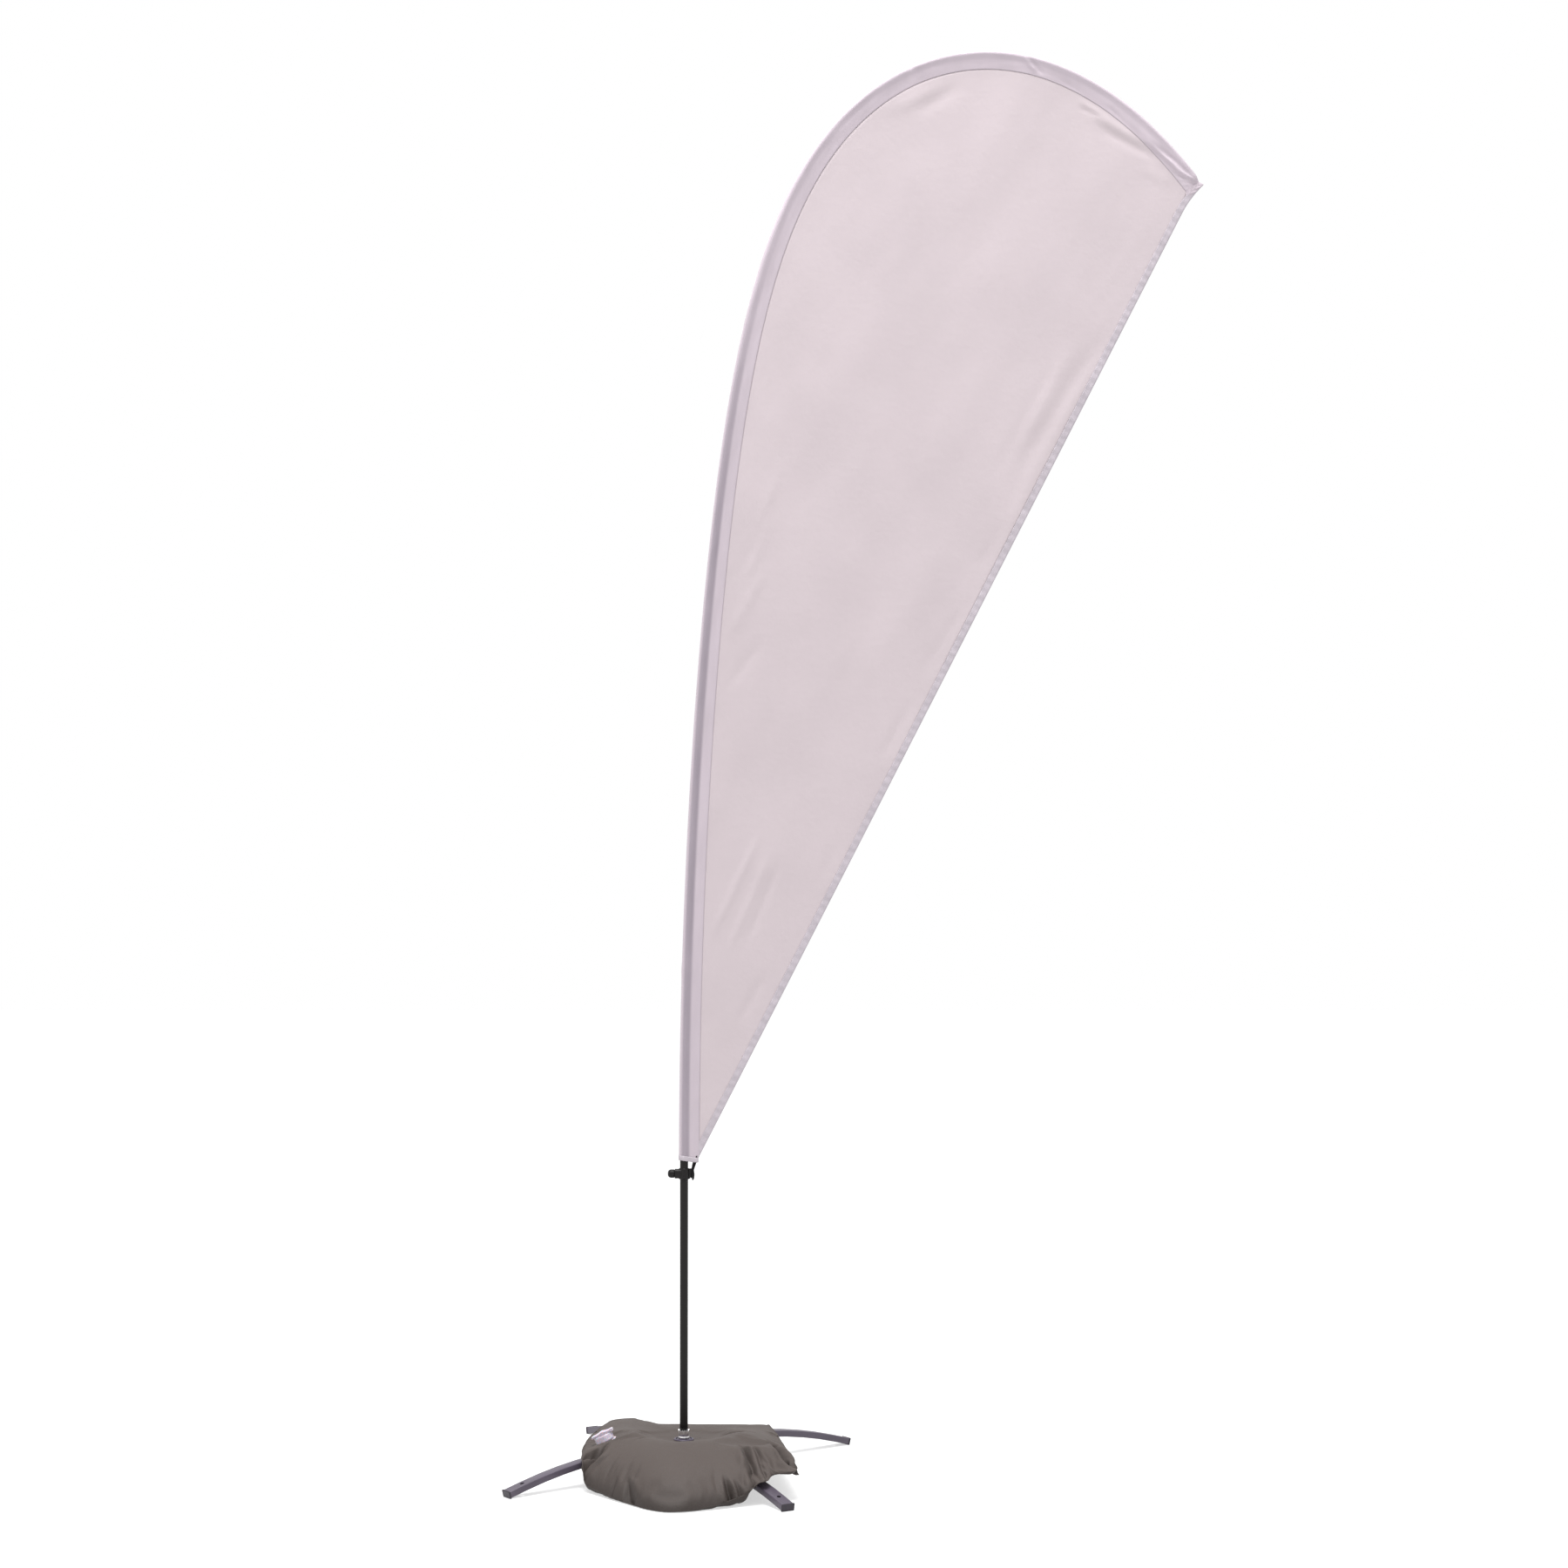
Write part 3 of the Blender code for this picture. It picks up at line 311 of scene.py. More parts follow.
def coated_fabric():
    """Taupe oxford cloth with a rubbery coat: plain weave with painted light on its crests, flecks, painted
    light on upward faces and painted shade low down.
    """
    finish = Finish("coated_fabric", srgb(56, 49, 46), 0.66, Specular_IOR_Level=0.3)
    place = finish.place()
    along = finish.node("ShaderNodeSeparateXYZ", inputs={0: place}, output="X")
    across = finish.node("ShaderNodeSeparateXYZ", inputs={0: place}, output="Y")
    up = finish.node("ShaderNodeSeparateXYZ", inputs={0: place}, output="Z")
    weave = finish.threads(along + 0.3 * up, across + 0.9 * up, 0.0014)
    fleck = finish.grain(place, 420.0, 2.0)
    worn = finish.grain(place, 17.0, 5.0, 0.6)
    facing = finish.node("ShaderNodeNewGeometry", output="Normal")
    level = finish.node("ShaderNodeSeparateXYZ", inputs={0: facing}, output="Z")
    # painted light: faces that point up are made lighter, as if lit from above, patchy with the noise
    painted_top_light = finish.step(level, 0.45, 1.0) * (0.75 + 0.5 * worn)
    # painted shade: the skin is made darker towards the ground
    painted_low_shade = finish.step(up, 0.0, 0.055, 1.0, 0.0)
    base = finish.blend(painted_top_light, finish.colour, shade(finish.colour, 1.45))
    base = finish.blend(painted_low_shade * (0.4 + 0.5 * worn), base, shade(finish.colour, 0.55))
    # painted light and shade of the weave: its crests lighter than its hollows
    base = finish.blend(finish.step(weave, -1.0, 1.0) * 0.16, base, shade(finish.colour, 1.35))
    finish.set("Base Color", finish.blend(finish.step(fleck, 0.64, 0.74) * 0.25, base,
                                          shade(finish.colour, 2.6)))
    finish.set("Roughness", 0.54 + 0.2 * worn)
    cloth_bump = finish.bump(weave, 0.00005)
    finish.set("Normal", finish.bump(finish.grain(place, 130.0, 3.0), 0.0006, cloth_bump))
    return finish.material


def thread():
    finish = Finish("sewing_thread", srgb(192, 184, 191), 0.65, Sheen_Weight=0.2)
    twist = finish.grain(finish.place(), 3000.0)
    finish.set("Base Color", finish.blend(twist, shade(finish.colour, 0.86), shade(finish.colour, 1.06)))
    return finish.material


def pale_floor():
    return Finish("pale_floor", (0.42, 0.42, 0.42), 0.9, Emission_Color=(1.0, 1.0, 1.0, 1.0),
                  Emission_Strength=0.55).material


LOOKS = {
    "panel": sail_cloth(),
    "band": sleeve_cloth(),
    "hem": hem_cloth(),
    "strap": strap_webbing(),
    "pole": fibre_pole(),
    "dark": moulded_plastic("black_plastic", srgb(13, 10, 11), gloss=0.25),
    "plug": moulded_plastic("plug_plastic", srgb(42, 37, 45)),
    "ring": moulded_plastic("violet_plastic", srgb(58, 49, 66), 0.36),
    "hub": moulded_plastic("dark_violet_plastic", srgb(48, 40, 56), 0.32),
    "cap": clear_plastic(),
    "arm": arm_paint(),
    "steel": plated_steel("zinc_plate", (0.60, 0.60, 0.62), 0.30),
    "chrome": plated_steel("bright_chrome", (0.95, 0.94, 0.96), 0.32),
    "brass": plated_steel("turned_brass", (0.74, 0.55, 0.26), 0.25),
    "nylon": moulded_plastic("white_nylon", srgb(222, 219, 214), 0.4),
    "bag": coated_fabric(),
    "thread": thread(),
}


# ---- mesh helpers ----

def piece(name, bm, body, look, replaces=(), sharp=40):
    """Give a finished shape its name, its body, its look and the CAD nodes it stands for."""
    mesh = bpy.data.meshes.new(name)
    bm.to_mesh(mesh)
    bm.free()
    mesh.shade_smooth()
    mesh.set_sharp_from_angle(angle=math.radians(sharp))
    mesh.materials.append(LOOKS[look])
    made = bpy.data.objects.new(name, mesh)
    bpy.context.scene.collection.objects.link(made)
    if body is not None:
        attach(made, body)
    if replaces:
        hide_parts(*replaces)
    return made


def turned(profile, steps, closed=True):
    """Spin a profile of (radius, height) round Z; a closed one comes back to its start."""
    bm = bmesh.new()
    corners = [bm.verts.new((radius, 0.0, height)) for radius, height in profile]
    pairs = list(zip(corners, corners[1:]))
    if closed:
        pairs.append((corners[-1], corners[0]))
    edges = [bm.edges.new(pair) for pair in pairs]
    bmesh.ops.spin(bm, geom=corners + edges, cent=(0, 0, 0), axis=(0, 0, 1), dvec=(0, 0, 0),
                   angle=2 * math.pi, steps=steps, use_merge=True, use_duplicate=False)
    bmesh.ops.remove_doubles(bm, verts=bm.verts, dist=1e-6)
    bmesh.ops.recalc_face_normals(bm, faces=bm.faces)
    return bm


def round_edges(bm, width, segments=2, angle=35):
    sharp = [e for e in bm.edges if len(e.link_faces) == 2 and e.calc_face_angle() > math.radians(angle)]
    bmesh.ops.bevel(bm, geom=sharp, offset=width, offset_type="OFFSET", segments=segments, profile=0.5,
                    affect="EDGES", material=-1, clamp_overlap=True)
    return bm


def cloth(columns, rows, place, welded=False):
    """A grid laid out by place(along, across), both from 0 to 1, with a UV map in metres from
    place's second answer; welded joins its two long edges."""
    bm = bmesh.new()
    bmesh.ops.create_grid(bm, x_segments=rows, y_segments=columns, size=0.5)
    layer = bm.loops.layers.uv.new("cloth")
    spots = {v: place(v.co.x + 0.5, v.co.y + 0.5) for v in bm.verts}
    for face in bm.faces:
        for loop in face.loops:
            loop[layer].uv = spots[loop.vert][1]
    for vert, (point, _) in spots.items():
        vert.co = point
    if welded:
        bmesh.ops.remove_doubles(bm, verts=bm.verts, dist=1e-6)
        bmesh.ops.recalc_face_normals(bm, faces=bm.faces)
    return bm


def thicken(made, thickness, offset=0.0):
    """Give a single layer of cloth its thickness."""
    step = made.modifiers.new("thickness", "SOLIDIFY")
    step.thickness, step.offset, step.use_even_offset = thickness, offset, False
    return made


def rounded(name, node, body, look, width, segments=2):
    """A CAD node's own shape with its arrises rounded."""
    bm = bmesh.new()
    bm.from_mesh(frame["nodes"][node].data)
    bmesh.ops.remove_doubles(bm, verts=bm.verts, dist=2e-6)
    bmesh.ops.dissolve_limit(bm, angle_limit=math.radians(0.5), verts=bm.verts, edges=bm.edges)
    made = piece(name, bm, body, look, (node,), sharp=30)
    step = made.modifiers.new("arris", "BEVEL")
    step.width, step.segments, step.limit_method = width, segments, "ANGLE"
    step.angle_limit, step.harden_normals = math.radians(30), True
    return made


def ease(value, low=0.0, high=1.0):
    part = min(1.0, max(0.0, (value - low) / (high - low)))
    return part * part * (3 - 2 * part)


def mix(one, other, part):
    return one + (other - one) * part


# ---- pole line ----

SPINDLE = Vector(((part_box("spindle_rod")[0].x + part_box("spindle_rod")[1].x) / 2, 0.0, 0.0))
POLE_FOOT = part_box("lower_pole")[0].z
POLE_RADIUS = (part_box("lower_pole")[1].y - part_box("lower_pole")[0].y) / 2
POLE_END, LOWER_SECTION_END = 4.216, 1.165   # lengths along the pole from the ground
BEND_START, BEND_RATE = 0.7324, 0.0623
TOP_TURN, TOP_TURN_AT, TOP_TURN_SPREAD = 2.4766, 3.556, 0.2759
LINE_STEP = 0.002


def heading(length):
    """The pole's angle from upright at a length along it."""
    slow = BEND_RATE * max(0.0, length - BEND_START)
    return slow + TOP_TURN / (1 + math.exp(-(length - TOP_TURN_AT) / TOP_TURN_SPREAD))


def pole_line():
    points = [SPINDLE.copy()]
    while len(points) * LINE_STEP < POLE_END + 0.08:
        angle = heading((len(points) - 0.5) * LINE_STEP)
        points.append(points[-1] + LINE_STEP * Vector((math.sin(angle), 0, math.cos(angle))))
    return points


POLE_LINE = pole_line()


def on_pole(length, out=0.0, side=0.0):
    """A point out from the pole's centre line, away from the sail, and to its side along Y."""
    index = min(int(length / LINE_STEP), len(POLE_LINE) - 2)
    point = POLE_LINE[index].lerp(POLE_LINE[index + 1], length / LINE_STEP - index)
    angle = heading(length)
    return point + out * Vector((-math.cos(angle), 0, math.sin(angle))) + Vector((0, side, 0))


# ---- sail ----

SAIL_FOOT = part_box("pole_sleeve")[0].z
SLEEVE_END = POLE_END + 0.022
SLEEVE_FOOT_RADIUS, SLEEVE_TIP_RADIUS = 0.0121, 0.0074
SEAM_OUT = 0.036                 # from the pole's centre line to the seam
CLOTH_THICKNESS = 0.0005
WRAP_TURN = math.radians(104)    # how far each half of the sleeve goes round the pole
WRAP_SHARE = 0.52                # share of its width that this takes
HEM_WIDTH = 0.016
LEECH_FOOT = SPINDLE + Vector((0.0325, 0.0, 0.7235))
LEECH_TOP = SPINDLE + Vector((1.189, 0.0, 2.978))
LEECH_RUN = (LEECH_TOP - LEECH_FOOT).normalized()
LEECH_IN = Vector((-LEECH_RUN.z, 0.0, LEECH_RUN.x))
LEECH_LENGTH = (LEECH_TOP - LEECH_FOOT).length
NUB = SPINDLE + Vector((1.2255, 0.0, 3.0185))   # the corner at the pole's tip

# Folds in the sail: (start x, z), (end x, z), half width, height towards the front; negative is a valley
FOLDS = (
    ((0.995, 2.672), (0.768, 2.311), 0.016, -0.0025),    # long ones along the leech
    ((0.930, 2.660), (0.789, 2.393), 0.018, 0.0022),
    ((0.882, 2.610), (0.717, 2.300), 0.012, -0.0014),
    ((0.979, 2.631), (0.723, 2.135), 0.014, 0.0020),
    ((0.758, 2.228), (0.690, 2.095), 0.013, -0.0018),
    ((0.665, 2.033), (0.552, 1.848), 0.013, -0.0018),
    ((0.541, 1.807), (0.459, 1.653), 0.012, -0.0017),
    ((0.357, 1.470), (0.330, 1.380), 0.014, -0.0011),
    ((0.224, 2.362), (0.142, 2.063), 0.014, 0.0025),     # short ones off the sleeve
    ((0.213, 2.290), (0.140, 2.100), 0.01, -0.0021),
    ((0.193, 2.115), (0.101, 1.940), 0.013, 0.0021),
    ((0.183, 1.940), (0.101, 1.827), 0.011, -0.0018),
    ((0.185, 1.500), (0.060, 1.233), 0.01, 0.0024),
    ((0.207, 1.450), (0.101, 1.203), 0.01, 0.0022),
    ((0.225, 1.420), (0.145, 1.224), 0.01, -0.0022),
    ((0.193, 1.162), (0.122, 1.029), 0.012, -0.0018),
    ((0.616, 3.263), (0.471, 3.190), 0.016, 0.0032),     # under the sleeve at the top
    ((0.657, 3.258), (0.540, 3.190), 0.012, -0.0030),
    ((0.930, 3.222), (0.985, 3.186), 0.006, 0.0023),     # towards the tip
    ((0.925, 3.205), (0.990, 3.180), 0.005, -0.0019),
    ((0.956, 3.200), (1.085, 3.110), 0.013, 0.0045),
    ((0.976, 3.160), (1.125, 3.078), 0.012, -0.0042),
    ((1.080, 3.060), (1.150, 3.020), 0.014, 0.0016),
)
# Folds of the sleeve alone, which end at its seam
SLEEVE_FOLDS = (
    ((0.800, 3.325), (0.835, 3.280), 0.006, 0.0052),     # across the sleeve
    ((0.812, 3.322), (0.850, 3.278), 0.006, -0.0044),
    ((0.515, 3.322), (0.539, 3.290), 0.006, -0.0060),
    ((0.528, 3.326), (0.552, 3.296), 0.006, 0.0036),
    ((0.884, 3.268), (0.950, 3.222), 0.006, -0.0048),
    ((0.997, 3.207), (1.070, 3.128), 0.006, -0.0060),
    ((0.985, 3.190), (1.045, 3.130), 0.006, 0.0052),
    ((1.060, 3.142), (1.185, 3.045), 0.006, 0.0078),
    ((1.055, 3.128), (1.160, 3.050), 0.006, -0.0064),
    ((1.105, 3.118), (1.213, 3.030), 0.006, -0.0060),
    ((1.120, 3.090), (1.210, 3.020), 0.006, 0.0058),
    ((1.140, 3.060), (1.215, 3.012), 0.006, -0.0046),
)


def fold_height(x, z, fold):
    """Height of one fold, which fades at its ends."""
    (x0, z0), (x1, z1), width, height = fold
    run_x, run_z = x1 - x0, z1 - z0
    length = math.hypot(run_x, run_z)
    t = ((x - x0) * run_x + (z - z0) * run_z) / length
    if t < -width or t > length + width:
        return 0.0
    away = ((x - x0) * run_z - (z - z0) * run_x) / length
    if abs(away) > 3 * width:
        return 0.0
    fade = ease(t, -width, 0.25 * length + width) * ease(length - t, -width, 0.25 * length + width)
    return height * fade * math.exp(-(away / width) ** 2)


def relief(point):
    """How far the cloth stands forward (towards -Y) of the sail's plane."""
    x, z = point.x - SPINDLE.x, point.z
    total = sum(fold_height(x, z, fold) for fold in FOLDS)
    along = (x * LEECH_RUN.x + z * LEECH_RUN.z)
    across = (x * LEECH_IN.x + z * LEECH_IN.z)
    slack = ease(z, 0.75, 1.2) * noise.noise(Vector((along * 2.2, across * 11.0, 0.3)))
    small = noise.noise(Vector((along * 9.0, across * 30.0, 4.7)))
    return 0.8 * total + 0.0017 * slack + 0.0003 * small


def sleeve_folds(point):
    """Height of the sleeve's own folds, with those that run out from the corner at the tip."""
    x, z = point.x - SPINDLE.x, point.z
    bearing = math.atan2(z - NUB.z, x - NUB.x + SPINDLE.x)
    gather = ease(x, 0.90, 1.14) * math.sin(13 * bearing + 4 * x) ** 2
    gather *= ease((point - NUB).length, 0.015, 0.070)
    return 0.55 * sum(fold_height(x, z, fold) for fold in SLEEVE_FOLDS) + 0.0024 * gather


def stand_forward(point, share=1.0, offset=0.0):
    """A point of the sail's plane moved out to the cloth's own surface."""
    return Vector((point.x, offset - share * relief(point), point.z))


def hem_line(part):
    """The leech's outer edge from the foot (0) to the nub (1), bending out over its last stretch."""
    length = part * (LEECH_LENGTH + (NUB - LEECH_TOP).length)
    if length < LEECH_LENGTH - 0.030:
        return LEECH_FOOT + LEECH_RUN * length
    start = LEECH_FOOT + LEECH_RUN * (LEECH_LENGTH - 0.030)
    bend = LEECH_FOOT + LEECH_RUN * (LEECH_LENGTH + 0.010)
    t = (length - LEECH_LENGTH + 0.030) / ((NUB - LEECH_TOP).length + 0.030)
    return start.lerp(bend, t).lerp(bend.lerp(NUB, t), t)


def seam_start():
    """Length along the pole where the sleeve's seam meets the hem's inner edge."""
    length = SAIL_FOOT
    while (on_pole(length, -SEAM_OUT) - LEECH_FOOT - HEM_WIDTH * LEECH_IN).dot(LEECH_IN) < 0:
        length += LINE_STEP
    return length


SEAM_START = seam_start()


def panel_seam(along):
    """The panel's edge under the sleeve, in the sail's plane."""
    return on_pole(mix(SEAM_START, SLEEVE_END - 0.004, along), -SEAM_OUT + 0.004)


def panel_hem(along):
    """The panel's edge inside the hem, in the sail's plane."""
    return LEECH_FOOT + LEECH_RUN * (LEECH_LENGTH * mix(0.012, 0.996, along)) + 0.010 * LEECH_IN


def cut_area():
    """Flat area inside the panel's outline, before it is folded or slack."""
    outline = [panel_seam(k / 400) for k in range(401)]
    outline += [panel_hem(1 - k / 400) for k in range(401)]
    turns = zip(outline, outline[1:] + outline[:1])
    return abs(sum(p.x * q.z - q.x * p.z for p, q in turns)) / 2


def make_panel():
    """The sail's panel, from under the sleeve's seam to inside the hem."""
    def place(along, across):
        point = panel_seam(along).lerp(panel_hem(along), across)
        return stand_forward(point), (point.x, point.z)

    bm = cloth(80, 520, place)
    return thicken(piece("sail_cloth", bm, MAST, "panel", ("sail_panel",)), CLOTH_THICKNESS)


def wrapped(t, radius, seam_out, seam_y, hollow):
    """Half of the sleeve's section, from the pole's outside (0) to the seam (1): how far out, and y."""
    if t <= WRAP_SHARE:
        angle = WRAP_TURN * t / WRAP_SHARE
        return radius * math.cos(angle), radius * math.sin(angle)
    s = (t - WRAP_SHARE) / (1 - WRAP_SHARE)
    return (mix(radius * math.cos(WRAP_TURN), seam_out, s),
            mix(radius * math.sin(WRAP_TURN), seam_y, s) - hollow * math.sin(math.pi * s))


def sleeve_radius(length):
    shrink = (length - SAIL_FOOT) / (POLE_END - SAIL_FOOT)
    radius = mix(SLEEVE_FOOT_RADIUS, SLEEVE_TIP_RADIUS, shrink)
    joint = 0.0009 * math.exp(-((length - LOWER_SECTION_END) / 0.02) ** 2)
    return (radius + joint) * mix(1.0, 0.25, ease(length, POLE_END - 0.004, SLEEVE_END))


def make_sleeve():
    """The sleeve round the pole, one cloth folded over it and sewn to the panel on both sides."""
    slant = 0.006

    def place(along, across):
        # the last stretch, where the folds gather, has closer rows
        way = along * 17 / 14 if along < 0.7 else 0.85 + (along - 0.7) / 2
        length = mix(SAIL_FOOT + 0.0008, SLEEVE_END, way)
        radius = sleeve_radius(length)
        side = 1.0 if across > 0.5 else -1.0
        t = abs(2 * across - 1)                      # 0 on the outside of the pole, 1 at the seam
        lip = CLOTH_THICKNESS * 1.4
        foot_cut = mix(0.0325, SEAM_OUT, ease(length, SAIL_FOOT, SAIL_FOOT + 0.02))
        out, y = wrapped(t, radius, -foot_cut, lip, 0.1 * radius)
        share = ease(-out, 0.0, SEAM_OUT * 0.8)
        point = on_pole(length, out)
        if length < SAIL_FOOT + 0.02:
            point.z -= slant * ease(-out, -0.012, 0.034) * ease(SAIL_FOOT + 0.02 - length, 0, 0.02)
        tube = side * y
        loose = ease(t, 0.1, 0.45) * ease(1 - t, 0.0, 0.22)
        ripple = 0.0008 * noise.noise(Vector((length * 16, out * 60, side * 3)))
        ripple -= sleeve_folds(point)
        return stand_forward(point, share, tube + loose * ripple), (length, out)

    bm = cloth(72, 640, place)
    made = piece("sail_sleeve", bm, MAST, "band", ("pole_sleeve",))
    return thicken(made, CLOTH_THICKNESS, 0.0)


def make_hem():
    """The leech's hem: a strip folded over the panel's edge, a little puckered by its sewing."""
    def place(along, across):
        edge = hem_line(along)
        ahead, behind = hem_line(min(1.0, along + 0.002)), hem_line(max(0.0, along - 0.002))
        run = (ahead - behind).normalized()
        inward = Vector((-run.z, 0.0, run.x))
        width = mix(HEM_WIDTH, 0.008, ease(along, 0.975, 1.0))
        t = 2 * across - 1
        depth = width * abs(t)
        fold = 1 - min(1.0, abs(t) / 0.14)
        pucker = 0.0004 * noise.noise(Vector((along * 260, depth * 150, math.copysign(3, t))))
        lip = (0.0011 + pucker * ease(abs(t), 0.1, 0.6)) * math.sqrt(1 - fold * fold)
        point = edge + depth * inward
        return stand_forward(point, 1.0, math.copysign(lip, t)), (along * LEECH_LENGTH, depth)

    made = piece("leech_hem_cloth", cloth(20, 620, place), MAST, "hem", ("leech_hem",))
    return thicken(made, CLOTH_THICKNESS)


def make_tip():
    """Gathered end of the sleeve, closed round the pole's tip and sewn down to the corner."""
    def place(along, across):
        outer = on_pole(SLEEVE_END - 0.006, sleeve_radius(SLEEVE_END - 0.006) + 0.0006)
        inner = on_pole(SLEEVE_END - 0.006, -SEAM_OUT)
        t = ease(along) * 0.6 + along * 0.4
        top = outer.lerp(NUB + Vector((0.0005, 0, 0.0030)), t)
        low = inner.lerp(LEECH_TOP + 0.004 * LEECH_IN, min(1.0, 1.6 * t))
        low = low.lerp(NUB, max(0.0, 1.6 * t - 0.6))
        angle = 2 * math.pi * across
        middle, half = (top + low) / 2, (top - low) / 2
        swell = mix(0.0034, 0.0022, t) * (1 + 0.25 * math.sin(9 * angle + 3 * t))
        point = middle + math.cos(angle) * half
        return Vector((point.x, swell * math.sin(angle) - relief(point) * (1 - t), point.z)), (
            along * 0.04, across * 0.08)

    bm = cloth(48, 14, place, welded=True)
    bmesh.ops.holes_fill(bm, edges=[e for e in bm.edges if e.is_boundary], sides=0)
    return piece("tip_gather", bm, MAST, "band")


def stitches(rows, pitch, size):
    """Rows of raised stitches, each row a way from 0 to 1 and its length."""
    bm = bmesh.new()
    long, wide, deep = size
    for way, length in rows:
        count = int(length / pitch)
        for k in range(count):
            here, there = way((k + 0.2) / count), way((k + 0.8) / count)
            run = (there - here).normalized()
            turn = run.to_track_quat("X", "Y").to_matrix().to_4x4()
            scale = Matrix.Diagonal((long, deep, wide, 1.0))
            bmesh.ops.create_icosphere(bm, subdivisions=1, radius=1.0,
                                       matrix=Matrix.Translation((here + there) / 2) @ turn @ scale)
    return bm


def make_stitching():
    def seam_row(out):
        def way(part):
            point = on_pole(mix(SAIL_FOOT + 0.012, SLEEVE_END - 0.012, part), out)
            return stand_forward(point, ease(-out, 0.0, SEAM_OUT * 0.8))
        return way, SLEEVE_END - SAIL_FOOT

    def hem_row(inset):
        def way(part):
            part = mix(0.006, 0.985, part)
            return stand_forward(hem_line(part) + inset * LEECH_IN)
        return way, LEECH_LENGTH

    seams = stitches([seam_row(-SEAM_OUT + 0.003), seam_row(-SEAM_OUT + 0.009)], 0.0042,
                     (0.0014, 0.00032, 0.0017))
    hem = stitches([hem_row(HEM_WIDTH - 0.0032)], 0.0042, (0.0014, 0.00032, 0.0016))
    return [piece("seam_stitching", seams, MAST, "thread"), piece("hem_stitching", hem, MAST, "thread")]


def make_foot():
    """Turned-up edge of the sleeve's foot, with the box of stitches that holds the strap."""
    def place(along, across):
        radius = sleeve_radius(SAIL_FOOT) + 0.0009
        side = 1.0 if along > 0.5 else -1.0
        t = abs(2 * along - 1)
        out, y = wrapped(t, radius, -0.0335, 0.0017, 0.0010)
        low = SAIL_FOOT + 0.0004 - 0.006 * ease(-out, -0.012, 0.034)
        point = on_pole(SAIL_FOOT, out)
        round_edge = 0.0006 * math.sin(math.pi * across)
        point.z = low + 0.0115 * across
        return Vector((point.x, side * (y + round_edge), point.z)), (t * 0.05, across * 0.012)

    bm = cloth(6, 60, place)
    band = thicken(piece("foot_hem", bm, MAST, "hem"), 0.0006)
    box = [(0.0205, 0.0080), (0.0315, 0.0065), (0.0315, 0.0005), (0.0205, 0.0020)]
    corners = [SPINDLE + Vector((x, 0, SAIL_FOOT - 0.004 + 1.4 * z)) for x, z in box]

    def side(start, end, y):
        return lambda part: start.lerp(end, part) + Vector((0, y, 0))

    rows = []
    for y in (-0.0035, 0.0035):
        lines = list(zip(corners, corners[1:] + corners[:1])) + [(corners[0], corners[2]),
                                                                  (corners[1], corners[3])]
        rows += [(side(a, b, y), (b - a).length) for a, b in lines]
    tack = piece("foot_stitching", stitches(rows, 0.0024, (0.0009, 0.00035, 0.0006)), MAST, "thread")
    return [band, tack]


def make_strap():
    """Webbing from the sail's foot, down each side of the clamp's hook and through its notch."""
    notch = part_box("tension_loop")[0].z
    top = SAIL_FOOT + 0.010
    spine = [(0.0262, -0.0022, top, 0.0095), (0.0250, -0.0026, SAIL_FOOT - 0.004, 0.0092),
             (0.0215, -0.0036, mix(SAIL_FOOT, notch, 0.40), 0.0074),
             (0.0186, -0.0037, mix(SAIL_FOOT, notch, 0.75), 0.0044),
             (0.0171, -0.0034, notch + 0.0014, 0.0026), (0.0171, -0.0016, notch + 0.0002, 0.0024)]
    spine = spine + [(x, -y, z, w) for x, y, z, w in reversed(spine)]

    def place(along, across):
        t = along * (len(spine) - 1)
        k = min(int(t), len(spine) - 2)
        low, high = spine[k], spine[k + 1]
        part = ease(t - k) * 0.5 + (t - k) * 0.5
        x, y, z, width = (mix(a, b, part) for a, b in zip(low, high))
        curl = 0.0004 * (2 * across - 1) ** 2
        return (SPINDLE + Vector((x + (across - 0.5) * width, y + math.copysign(curl, y), z)),
                (along * 0.1, across * 0.01))

    bm = cloth(6, 88, place)
    made = piece("tension_strap", bm, None, "strap", ("tension_loop",))
    thicken(made, 0.0009, 0.0)
    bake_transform(made)
    return made


# ---- pole, cup and clamp ----

def make_pole():
    """The lowest section of the pole, the only one that shows."""
    def place(along, across):
        length = mix(POLE_FOOT, LOWER_SECTION_END, along)
        angle = 2 * math.pi * across
        point = on_pole(length, POLE_RADIUS * math.cos(angle), POLE_RADIUS * math.sin(angle))
        return point, (length, across * 2 * math.pi * POLE_RADIUS)

    bm = cloth(48, 60, place, welded=True)
    made = piece("pole_tube", bm, MAST, "pole", ("lower_pole",))
    return thicken(made, 0.0015, -1.0)


def make_cup():
    """Chrome cup that holds the pole, with a serrated rim."""
    low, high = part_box("rotor_cup")
    radius, bore = (high.x - low.x) / 2, POLE_RADIUS + 0.0007
    teeth, depth = 12, 0.0024
    rim = high.z
    foot_bore = radius - 0.0030
    bm = turned([(foot_bore, low.z), (radius - 0.0008, low.z), (radius - 0.0002, low.z + 0.0003),
                 (radius, low.z + 0.0009), (radius, low.z + 0.0042), (radius - 0.0005, low.z + 0.0047),
                 (radius - 0.0005, low.z + 0.0055), (radius, low.z + 0.0060), (radius, rim),
                 (bore, rim), (bore, low.z + 0.0140), (foot_bore, low.z + 0.0140)], 144)
    for vert in bm.verts:
        if vert.co.z > rim - 1e-5:
            phase = (math.atan2(vert.co.y, vert.co.x) * teeth / (2 * math.pi)) % 1.0
            vert.co.z -= depth * ease(abs(2 * phase - 1), 0.06, 0.94)
    bmesh.ops.translate(bm, verts=bm.verts, vec=SPINDLE)
    return piece("pole_cup", bm, ROTOR, "chrome", ("rotor_cup",), sharp=50)


